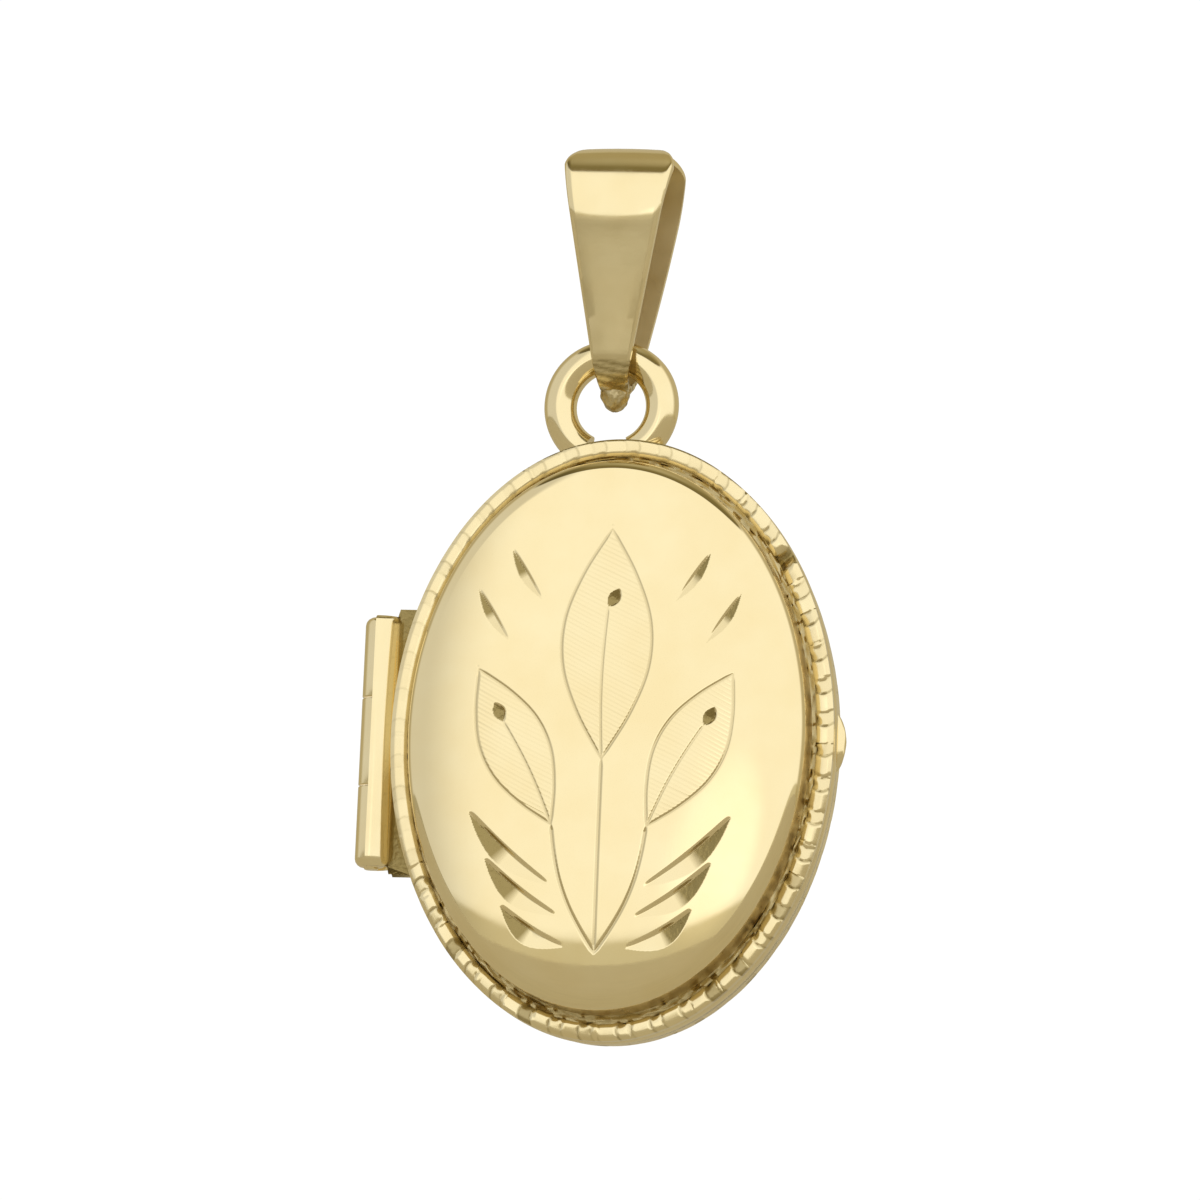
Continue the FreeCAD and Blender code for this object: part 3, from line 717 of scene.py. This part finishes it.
def make_rim(side, near):
    """Flange with softly rounded corners and a rough recess beside the dome wall, darkened with
    patchy painted shade.
    """
    node = HALF_NAME[side] + "_rim"
    angles = even_angles(RIM, RIM_POINTS)
    outer = [RIM[i] - REAR_TRIM * (side == REAR) for i in (0, 1)]
    soft = 0.07
    # share of the way in from the outer edge to the opening, depth
    outline = [
        (1.0, near + 0.02), (0.99, near), (0.1, near), (0.02, near + 0.01), (0.0, near + 0.03),
        (0.0, FLANGE - soft), (0.02, FLANGE - soft / 3), (0.065, FLANGE), (0.42, FLANGE),
    ]
    recess = np.linspace(0.44, 0.72, 7)
    outline += [(inset, FLANGE) for inset in recess]
    outline += [(0.99, FLANGE), (1.0, UNDER_FLANGE)]
    patch_at = np.arange(0, RIM_POINTS + 1, PATCH_STEP)
    loops = []
    painted_shade_and_solder_values = []
    for inset, depth in outline:
        size = tuple(outer[i] + (OPENING[i] - outer[i]) * inset for i in (0, 1))
        loop = oval_points(size, depth, side, angles)
        in_recess = recess[0] <= inset <= recess[-1]
        heights = rng.uniform(0, 1, len(patch_at))
        patches = np.interp(np.arange(RIM_POINTS), patch_at, heights)
        if in_recess:
            loop[:, 1] -= side * RECESS_DEPTH * patches
        loops.append(loop)
        # patchy painted shade in the recess
        painted_shade_and_solder_values.append((0.50 + 0.32 * patches) * in_recess)
    faces = tube_faces(len(outline), len(angles))
    if side == FRONT:
        faces = flip(faces)
    piece = make_piece(node + "_soft", np.vstack(loops), faces, HALF_BODY[side],
                       WORKED_GOLD, [node], crease=40)
    set_painted_shade_and_solder(piece, np.concatenate(painted_shade_and_solder_values))


MOTIFS = 48
PER_MOTIF = 26
FACET_SHARE = 0.60
FRONT_JOINT = 39  # degrees round the oval to the border's open joint
REAR_JOINT = 214


def cut_strength(angles):
    """How deep the border is cut: faint at the upper left, nothing at the hinge."""
    faint = np.clip((np.cos(angles - math.radians(115)) - 0.35) / 0.4, 0, 1)
    strength = 1 - 0.72 * faint
    height = BODY_Z + RIM[1] * np.sin(angles)
    by_hinge = (np.cos(angles) < 0) & (np.abs(height - HINGE[2]) < HINGE_HALF + 0.1)
    return np.where(by_hinge, 0.06, strength)


def ridge(distance, width):
    """Smooth bump that is 1 at no distance."""
    return np.exp(-(distance / width) ** 2)


def border_relief(angles, across, joint_angle):
    """Height lost and painted shade over the wire for its cut pattern."""
    count = len(angles)
    place = np.arange(count) / PER_MOTIF
    motif = np.floor(place).astype(int) % MOTIFS
    lean = rng.uniform(-1.0, 1.0, MOTIFS)[motif]
    dip = rng.uniform(0.3, 1.0, MOTIFS)[motif]
    shift = rng.uniform(-0.13, 0.13, MOTIFS)[motif]
    strength = cut_strength(angles)
    # painted shade on the lower half of the oval, on motifs that lean one way
    lower_half_painted_shade = (lean > 0.3) * np.clip(-1.3 * np.sin(angles), 0, 1)
    lost = np.zeros((len(across), count))
    painted_shade_and_solder = np.zeros((len(across), count))
    for row, w in enumerate(across):
        bow = 0.11 * (1 - (2 * w - 1) ** 2)
        local = (place + shift + bow) % 1.0
        in_facet = local < FACET_SHARE
        facet = 0.030 * dip * (1 - local / FACET_SHARE)
        lobe_share = (local - FACET_SHARE) / (1 - FACET_SHARE)
        lobe = 0.012 + 0.022 * lobe_share
        step = ridge(local - FACET_SHARE, 0.030)
        seam = ridge(np.minimum(local, 1 - local), 0.028)
        pit = ridge(w - 1, 0.22) * ridge(local - FACET_SHARE - 0.1, 0.1)
        relief = np.where(in_facet, facet, lobe) + 0.022 * step + 0.016 * seam + 0.06 * pit
        lost[row] = strength * (relief + 0.05 * lean * (w - 0.5))
        # painted shade in steps, seams, pits and the inner edge, more in the lobes
        painted_dark = (0.45 + 0.4 * dip) * step + 0.30 * seam + 0.6 * pit + 0.5 * w ** 12
        painted_dark += np.where(in_facet, 0, 0.10 + 0.65 * lower_half_painted_shade)
        painted_shade_and_solder[row] = np.clip(painted_dark, 0, 0.9) * (0.25 + 0.75 * strength)
    joint = math.radians(joint_angle)
    from_joint = np.abs((angles - joint + math.pi) % (2 * math.pi) - math.pi) * RIM[1] * 0.85
    lost += ridge(from_joint, 0.20)[None, :] * 0.24
    # painted shade in the open joint
    painted_shade_and_solder += ridge(from_joint, 0.16)[None, :] * 0.9
    return np.clip(lost, -0.03, 0.30), np.clip(painted_shade_and_solder, 0, 1)


def make_border(side, joint_angle, top):
    """Applied wire cut all round with overlapping scale-like facets, darkened with painted shade.
    """
    node = HALF_NAME[side] + "_border"
    angles = even_angles(BORDER, MOTIFS * PER_MOTIF)
    across = np.linspace(0, 1, 9)
    crown = 0.055 * (np.abs(2 * across - 1)) ** 5
    lost, painted_shade_and_solder = border_relief(angles, across, joint_angle)
    rows = [(0.0, UNDER_FLANGE, None)]
    for index, w in enumerate(across):
        rows.append((w, top, index))
    rows.append((1.0, UNDER_FLANGE, None))
    loops = []
    painted_shade_and_solder_values = []
    for w, depth, index in rows:
        size = tuple(BORDER[i] - REAR_TRIM * (side == REAR) - BORDER_WIDE * w for i in (0, 1))
        loop = oval_points(size, depth, side, angles)
        # the flank against the dome gets painted shade
        if index is None:
            painted_shade_and_solder_values.append(np.full(len(angles), 0.7 * w))
        else:
            loop[:, 1] -= side * (lost[index] + crown[index])
            painted_shade_and_solder_values.append(painted_shade_and_solder[index])
        loops.append(loop)
    faces = tube_faces(len(rows), len(angles))
    if side == FRONT:
        faces = flip(faces)
    piece = make_piece(
        node + "_cut", np.vstack(loops), faces, HALF_BODY[side], WIRE_GOLD,
        [node], crease=28,
    )
    set_painted_shade_and_solder(piece, np.concatenate(painted_shade_and_solder_values))


# ------------ the hinge
def lathe(profile, centre, around=64):
    """Solid of revolution about an upright axis through the centre."""
    turns = np.arange(around) / around * 2 * math.pi
    loops = [
        np.column_stack([
            centre[0] + radius * np.cos(turns),
            centre[1] + radius * np.sin(turns),
            np.full(around, height),
        ])
        for radius, height in profile
    ]
    return np.vstack(loops), tube_faces(len(profile), around)


def make_knuckle(node, body, bottom_soft, top_soft):
    """Bored hinge knuckle with its ends rounded by the two given radii."""
    low, high = node_box(node)
    bore = 0.22
    profile = [(bore, low[2] + 0.02), (bore, high[2] - 0.02)]
    for soft, end, way in ((top_soft, high[2], -1), (bottom_soft, low[2], 1)):
        steps = np.linspace(0, math.pi / 2, 5)
        corner = [
            (KNUCKLE - soft * (1 - math.sin(t)), end + way * soft * (1 - math.cos(t)))
            for t in steps
        ]
        profile += corner if way < 0 else corner[::-1]
    points, faces = lathe(profile, HINGE)
    make_piece(node + "_soft", points, flip(faces), body, POLISHED_GOLD, [node])


def rim_edge(z):
    """Left edge of the rim at one height."""
    return BODY_X - RIM[0] * math.sqrt(max(0.0, 1 - ((z - BODY_Z) / RIM[1]) ** 2))


def make_bearer(side):
    """Hinge plate and rounded cover bar, swept up the hinge with soft ends; the web and plate
    carry painted shade.
    """
    node = HALF_NAME[side] + "_hinge_bearer"
    inner = KNUCKLE + 0.035
    plate_low = 0.03
    web_points = 3
    inner_turns = np.radians(np.linspace(3, 95, 14))
    outer_turns = np.radians(np.linspace(95, 30, 16))
    soft = 0.3
    ends = np.linspace(0, math.pi / 2, 9)
    levels = [(-HINGE_HALF + soft * (1 - math.cos(t)), math.sin(t)) for t in ends]
    levels += [(HINGE_HALF - soft * (1 - math.cos(t)), math.sin(t)) for t in ends[::-1]]
    slices = []
    for offset, fullness in levels:
        z = HINGE[2] + offset
        hood = inner + (HOOD - inner) * (0.30 + 0.70 * fullness)
        edge = rim_edge(z) - HINGE[0] + 0.01
        bar = [(hood * math.cos(t), hood * math.sin(t)) for t in outer_turns]
        foot = bar[-1][0] + 0.03
        loop = [(inner * math.cos(t), inner * math.sin(t)) for t in inner_turns] + bar
        loop += [(foot, WEB_TOP + 0.03), (foot + 0.04, WEB_TOP)]
        loop += [(max(edge, foot + 0.06), WEB_TOP), (max(edge, foot + 0.06), plate_low)]
        flare = 0.22 * (offset / HINGE_HALF) ** 9
        slices.append(np.array([
            (
                HINGE[0] + along,
                PARTING_Y + side * max(depth, plate_low),
                z + (flare if index >= len(loop) - web_points else 0.0),
            )
            for index, (along, depth) in enumerate(loop)
        ]))
    around = len(slices[0])
    # painted shade on the web and the plate
    web_painted_shade = (0.35, 0.7, 0.9, 1.0, 1.0, 1.0, 0.3)
    section_painted_shade = np.zeros(around)
    section_painted_shade[-len(web_painted_shade):] = web_painted_shade
    points = np.vstack(slices)
    faces = capped_tube(len(slices), around)
    if side == REAR:
        faces = flip(faces)
    piece = make_piece(node + "_soft", points, faces, HALF_BODY[side],
                       WORKED_GOLD, [node], crease=60)
    set_painted_shade_and_solder(piece, np.tile(section_painted_shade, len(slices)))


# ------------ ring and bail
def make_ring():
    """Wire ring, very slightly uneven, let down to the rim's top edge."""
    around = 40
    steps = 150
    low_turn = math.radians(-62)
    loops = []
    for turn in np.linspace(low_turn, math.pi - low_turn, steps):
        wire = RING_WIRE * (1 + 0.012 * math.sin(3 * turn + 0.6))
        mean = RING_MEAN * (1 + 0.006 * math.sin(2 * turn + 1.1))
        for angle in np.arange(around) / around * 2 * math.pi:
            radius = mean + wire * math.cos(angle)
            loops.append((
                RING_X + radius * math.cos(turn),
                wire * math.sin(angle),
                RING_Z + radius * math.sin(turn),
            ))
    faces = capped_tube(steps, around)
    make_piece("hanging_ring_wire", loops, flip(faces), "rear_half",
               POLISHED_GOLD, ["hanging_ring"])


def bail_half_width(z, rear):
    """Half width of the bail at one height; the rear leg swells a little midway."""
    corner = 0.6
    low_half, low_z = 0.53, -5.3
    top = BAIL_TOP_HALF
    shoulder = CREST_OUT - corner
    if z > shoulder:
        lift = min(1.0, (z - shoulder) / corner)
        return top - corner + corner * math.sqrt(1 - lift ** 2)
    share = (shoulder - z) / (shoulder - low_z)
    half = top + (low_half - top) * share
    return half + 0.06 * rear * math.sin(math.pi * min(1.0, share))


def bail_path():
    """Middle line of the strap as (y, z, direction of its outer face).

    A tight bend over the top eases into a wider curve on each leg.
    """
    tight = CREST_OUT - STRAP / 2
    wide = 2.5
    ease = math.radians(22)
    low = BEND_OUT - STRAP / 2
    centre_y = (wide - tight) * math.cos(ease)
    centre_z = (tight - wide) * math.sin(ease)
    span = math.hypot(centre_y, centre_z - PIVOT_Z)
    tilt = math.asin((wide - low) / span) - math.atan2(centre_y, centre_z - PIVOT_Z)
    front = []
    for turn in np.linspace(math.pi / 2, math.pi - ease, 24):
        front.append((tight * math.cos(turn), tight * math.sin(turn), turn))
    for turn in np.linspace(math.pi - ease, math.pi + tilt, 20)[1:]:
        front.append((centre_y + wide * math.cos(turn), centre_z + wide * math.sin(turn), turn))
    bend_start = (
        low * math.cos(math.pi + tilt), PIVOT_Z + low * math.sin(math.pi + tilt), math.pi + tilt,
    )
    leg_start = front[-1]
    for step in np.linspace(0, 1, 30)[1:-1]:
        front.append((
            leg_start[0] + (bend_start[0] - leg_start[0]) * step,
            leg_start[1] + (bend_start[1] - leg_start[1]) * step,
            math.pi + tilt,
        ))
    for turn in np.linspace(math.pi + tilt, 1.5 * math.pi, 24):
        front.append((low * math.cos(turn), PIVOT_Z + low * math.sin(turn), turn))
    rear = [(-y, z, math.pi - turn) for y, z, turn in front[-2:0:-1]]
    return front + rear


PAINTED_SHADE_TOP = -0.75  # the front leg's outer face carries painted shade below this height
ROUGH_TOP = -5.0  # the strap is rough with solder below this one


def make_bail():
    """Folded strap with rounded edge bevels, painted shade on the front leg's outer face low
    down, and a roughened lower bend.
    """
    thick = STRAP / 2
    crown = 0.035
    # distance in from the side, distance out from the middle line
    edge = [(0.0, 0.04 - thick), (0.0, thick - 0.08), (0.03, thick - 0.035), (0.10, thick)]
    face = [0.86, 0.55, 0.2]
    path = bail_path()
    points = []
    painted_shade_and_solder_values = []
    for y, z, turn in path:
        out_y, out_z = math.cos(turn), math.sin(turn)
        half = bail_half_width(z + thick * out_z, rear=max(0.0, min(1.0, y)))
        section = [(-half + inset, outward) for inset, outward in edge]
        across = [-s for s in face] + face[::-1]
        section += [(s * half, thick + crown * (1 - s * s)) for s in across]
        # painted shade on the front leg's outer face below the shade height
        below = PAINTED_SHADE_TOP - z
        leg_painted_shade = min(1.0, max(0.0, below / 0.12)) * (0.46 - 0.05 * below) * (y < 0)
        section += [(half - inset, outward) for inset, outward in reversed(edge)]
        sag = 0.12 * math.exp(-((z + 0.55) / 0.5) ** 2)
        for x, outward in section:
            rough = 0.0
            painted_shade_and_solder = leg_painted_shade * (outward >= thick and abs(x) < 0.9 * half)
            if z < ROUGH_TOP:
                rough = 0.03 * math.sin(41 * z + 5 * x) * math.sin(19 * x + outward * 31)
                painted_shade_and_solder = 0.55 + 0.4 * math.sin(37 * z + 6 * x)
            drop = sag * (1 - min(1.0, (x / half) ** 2))
            points.append((x, y + (outward + rough) * out_y, z + outward * out_z + rough - drop))
            painted_shade_and_solder_values.append(painted_shade_and_solder)
    around = len(points) // len(path)
    faces = tube_faces(len(path), around)
    piece = make_piece("bail_strap_bevelled", points, flip(faces), "bail",
                       WORKED_GOLD, ["bail_strap"], crease=30)
    piece.data.materials.append(INSIDE_GOLD)
    for index, polygon in enumerate(piece.data.polygons):
        if index % around == around - 1:
            polygon.material_index = 1
    set_painted_shade_and_solder(piece, np.array(painted_shade_and_solder_values))


def blob(centre, radii, lumpy):
    """Closed ellipsoid; lumpy 0 is smooth, 1 is uneven."""
    around, rings = 48, 30
    points = []
    for ring in range(rings):
        lift = math.pi * (ring + 0.5) / rings - math.pi / 2
        for step in range(around):
            turn = 2 * math.pi * step / around
            lump = 1 + 0.05 * lumpy * math.sin(5 * turn + 7 * lift)
            lump += 0.035 * lumpy * math.sin(11 * turn - 9 * lift)
            points.append((
                centre[0] + radii[0] * lump * math.cos(lift) * math.cos(turn),
                centre[1] + radii[1] * lump * math.cos(lift) * math.sin(turn),
                centre[2] + radii[2] * math.sin(lift) * (1 + 0.02 * lumpy * math.sin(3 * turn)),
            ))
    return points, capped_tube(rings, around)


def make_solder():
    """Lumpy tail of solder under the bail."""
    points, faces = blob(centre=(0, 0, -5.78), radii=(0.44, 0.42, 0.64), lumpy=1)
    make_piece("bail_solder_tail", points, faces, "bail", SOLDER,
               ["bail_solder"], crease=70)


def make_lip():
    """Thumb lip as a smooth swelling that fades into the rear rim."""
    low, high = node_box("thumb_lip")
    reach = 0.6
    centre = (high[0] - reach, (low[1] + high[1]) / 2, (low[2] + high[2]) / 2)
    radii = (reach, (high[1] - low[1]) / 2, 0.95 * (high[2] - low[2]))
    points, faces = blob(centre, radii, lumpy=0.2)
    make_piece("thumb_lip_swelling", points, faces, "rear_half",
               POLISHED_GOLD, ["thumb_lip"], crease=70)


# ------------ parts kept from CAD
def dress_cad_parts():
    """Materials for the CAD nodes that stay visible."""
    looks = {"hinge_pin": POLISHED_GOLD, "front_window": CLEAR, "rear_window": CLEAR}
    for node in ("snap_bezel", "snap_nib", "front_photo_frame", "rear_photo_frame"):
        looks[node] = FITTING_GOLD
    for node, material in looks.items():
        piece = frame["nodes"][node]
        piece.data.materials.clear()
        piece.data.materials.append(material)
        if material is not CLEAR:
            soft = piece.modifiers.new("soft_edges", "BEVEL")
            soft.width = 0.03 * MM
            soft.segments = 2
            soft.limit_method = "ANGLE"
            soft.angle_limit = math.radians(50)


# ------------ the studio
CAMERA_AZIMUTH = 10.5
CAMERA_ELEVATION = -9.0
CAMERA_ROLL = 2.6
CAMERA_LENS = 400
SENSOR_WIDTH = 36
VIEW_WIDTH = 35.7
RING_FROM_MIDDLE = (0.342, 5.744)  # right and up in the view
# height share (0 is straight down, 0.5 level, 1 straight up) and the light there
SKY = [
    (0.0, (0.34, 0.30, 0.20)),
    (0.42, (0.44, 0.40, 0.29)),
    (0.445, (0.575, 0.54, 0.425)),
    (0.4975, (0.595, 0.56, 0.445)),
    (0.5005, (1.0, 1.0, 1.0)),
    (0.90, (1.0, 1.0, 1.0)),
    (0.91, (0.17, 0.14, 0.065)),
    (0.96, (0.20, 0.17, 0.08)),
    (1.0, (0.44, 0.40, 0.28)),
]
BEHIND_LIGHT = (0.40, 0.345, 0.205)


def make_floor():
    """Plain pale floor well below the locket, in metres."""
    depth = cad_low[2] - 0.11
    reach = 3.0
    mesh = bpy.data.meshes.new("floor")
    corners = [(-reach, -reach, depth), (reach, -reach, depth), (reach, reach, depth),
               (-reach, reach, depth)]
    mesh.from_pydata(corners, [], [(0, 1, 2, 3)])
    floor = bpy.data.objects.new("floor", mesh)
    bpy.context.scene.collection.objects.link(floor)
    floor.data.materials.append(pale_floor())


def ramp(tree, value, stops):
    node = tree.nodes.new("ShaderNodeValToRGB")
    tree.links.new(value, node.inputs["Fac"])
    elements = node.color_ramp.elements
    while len(elements) < len(stops):
        elements.new(0.5)
    for element, (place, colour) in zip(elements, stops):
        element.position = place
        element.color = (*colour, 1)
    return node.outputs["Color"]


def direction(azimuth, elevation):
    """Unit vector pointing from the object; azimuth 0 is straight to the front."""
    azimuth, elevation = math.radians(azimuth), math.radians(elevation)
    return (
        math.sin(azimuth) * math.cos(elevation),
        -math.cos(azimuth) * math.cos(elevation),
        math.sin(elevation),
    )


def spot(tree, vector, towards, inner, outer):
    """1 inside a cone about one direction, fading to 0 at its outer angle."""
    dot = tree.nodes.new("ShaderNodeVectorMath")
    dot.operation = "DOT_PRODUCT"
    tree.links.new(vector, dot.inputs[0])
    dot.inputs[1].default_value = towards
    return ease(tree, dot.outputs["Value"], math.cos(math.radians(outer)),
                math.cos(math.radians(inner)), 0.0, 1.0)


def ease(tree, value, begin, finish, low, high):
    node = tree.nodes.new("ShaderNodeMapRange")
    node.interpolation_type = "SMOOTHSTEP"
    node.inputs["From Min"].default_value = begin
    node.inputs["From Max"].default_value = finish
    node.inputs["To Min"].default_value = low
    node.inputs["To Max"].default_value = high
    tree.links.new(value, node.inputs["Value"])
    return node.outputs["Result"]


def scale_colour(tree, colour, factor):
    node = tree.nodes.new("ShaderNodeVectorMath")
    node.operation = "SCALE"
    tree.links.new(colour, node.inputs[0])
    tree.links.new(factor, node.inputs["Scale"])
    return node.outputs["Vector"]


def make_studio():
    """White tent in front, tan floor and dim sides, and a white card behind."""
    world = bpy.data.worlds.new("studio")
    bpy.context.scene.world = world
    world.use_nodes = True
    tree = world.node_tree
    background = tree.nodes["Background"]
    coords = tree.nodes.new("ShaderNodeTexCoord")
    split = tree.nodes.new("ShaderNodeSeparateXYZ")
    tree.links.new(coords.outputs["Generated"], split.inputs["Vector"])
    height = ease(tree, split.outputs["Z"], -1.0, 1.0, 0.0, 1.0)
    height.node.interpolation_type = "LINEAR"
    light = ramp(tree, height, SKY)
    light = scale_colour(tree, light, ease(tree, split.outputs["X"], -0.46, -0.30, 0.66, 1.0))
    behind = ease(tree, split.outputs["Y"], -0.10, 0.35, 0.0, 0.85)
    light = mix_colour(tree, behind, light, BEHIND_LIGHT)
    glow = spot(tree, coords.outputs["Generated"], direction(-1, 3), 1.5, 6.0)
    glow = ease(tree, glow, 0.0, 1.0, 1.0, 1.2)
    light = scale_colour(tree, light, glow)
    away = direction(180 + CAMERA_AZIMUTH, -CAMERA_ELEVATION)
    card = spot(tree, coords.outputs["Generated"], away, 6.0, 6.5)
    light = mix_colour(tree, card, light, (1.0, 1.0, 1.0))
    tree.links.new(light, background.inputs["Color"])
    background.inputs["Strength"].default_value = 1.04


def make_camera():
    """Long-lens camera a little to the right of and below the face."""
    azimuth = math.radians(CAMERA_AZIMUTH)
    roll = math.radians(CAMERA_ROLL)
    back = Vector(direction(CAMERA_AZIMUTH, CAMERA_ELEVATION))
    right = Vector((math.cos(azimuth), math.sin(azimuth), 0))
    up = back.cross(right)
    rolled_right = math.cos(roll) * right + math.sin(roll) * up
    rolled_up = -math.sin(roll) * right + math.cos(roll) * up
    target = Vector((RING_X, 0, RING_Z))
    target -= RING_FROM_MIDDLE[0] * rolled_right + RING_FROM_MIDDLE[1] * rolled_up
    data = bpy.data.cameras.new("camera")
    data.lens = CAMERA_LENS
    data.sensor_width = SENSOR_WIDTH
    data.clip_start = 0.01
    data.clip_end = 20
    camera = bpy.data.objects.new("camera", data)
    bpy.context.scene.collection.objects.link(camera)
    distance = VIEW_WIDTH * CAMERA_LENS / SENSOR_WIDTH
    turn = Matrix((rolled_right, rolled_up, back)).transposed()
    camera.matrix_world = Matrix.Translation((target + back * distance) * MM) @ turn.to_4x4()
    bpy.context.scene.camera = camera


make_front_dome()
make_rear_dome()
make_rim(FRONT, PARTING_GAP)
make_rim(REAR, 0.0)
make_border(FRONT, FRONT_JOINT, FRONT_BORDER_TOP)
make_border(REAR, REAR_JOINT, REAR_BORDER_TOP)
make_bearer(FRONT)
make_bearer(REAR)
make_knuckle("rear_knuckle_upper", "rear_half", KNUCKLE_INNER_SOFT, KNUCKLE_OUTER_SOFT)
make_knuckle("front_knuckle", "front_half", KNUCKLE_INNER_SOFT, KNUCKLE_INNER_SOFT)
make_knuckle("rear_knuckle_lower", "rear_half", KNUCKLE_OUTER_SOFT, KNUCKLE_INNER_SOFT)
make_ring()
make_bail()
make_solder()
make_lip()
dress_cad_parts()
make_floor()
make_studio()
make_camera()
bpy.context.scene.view_settings.view_transform = "Standard"
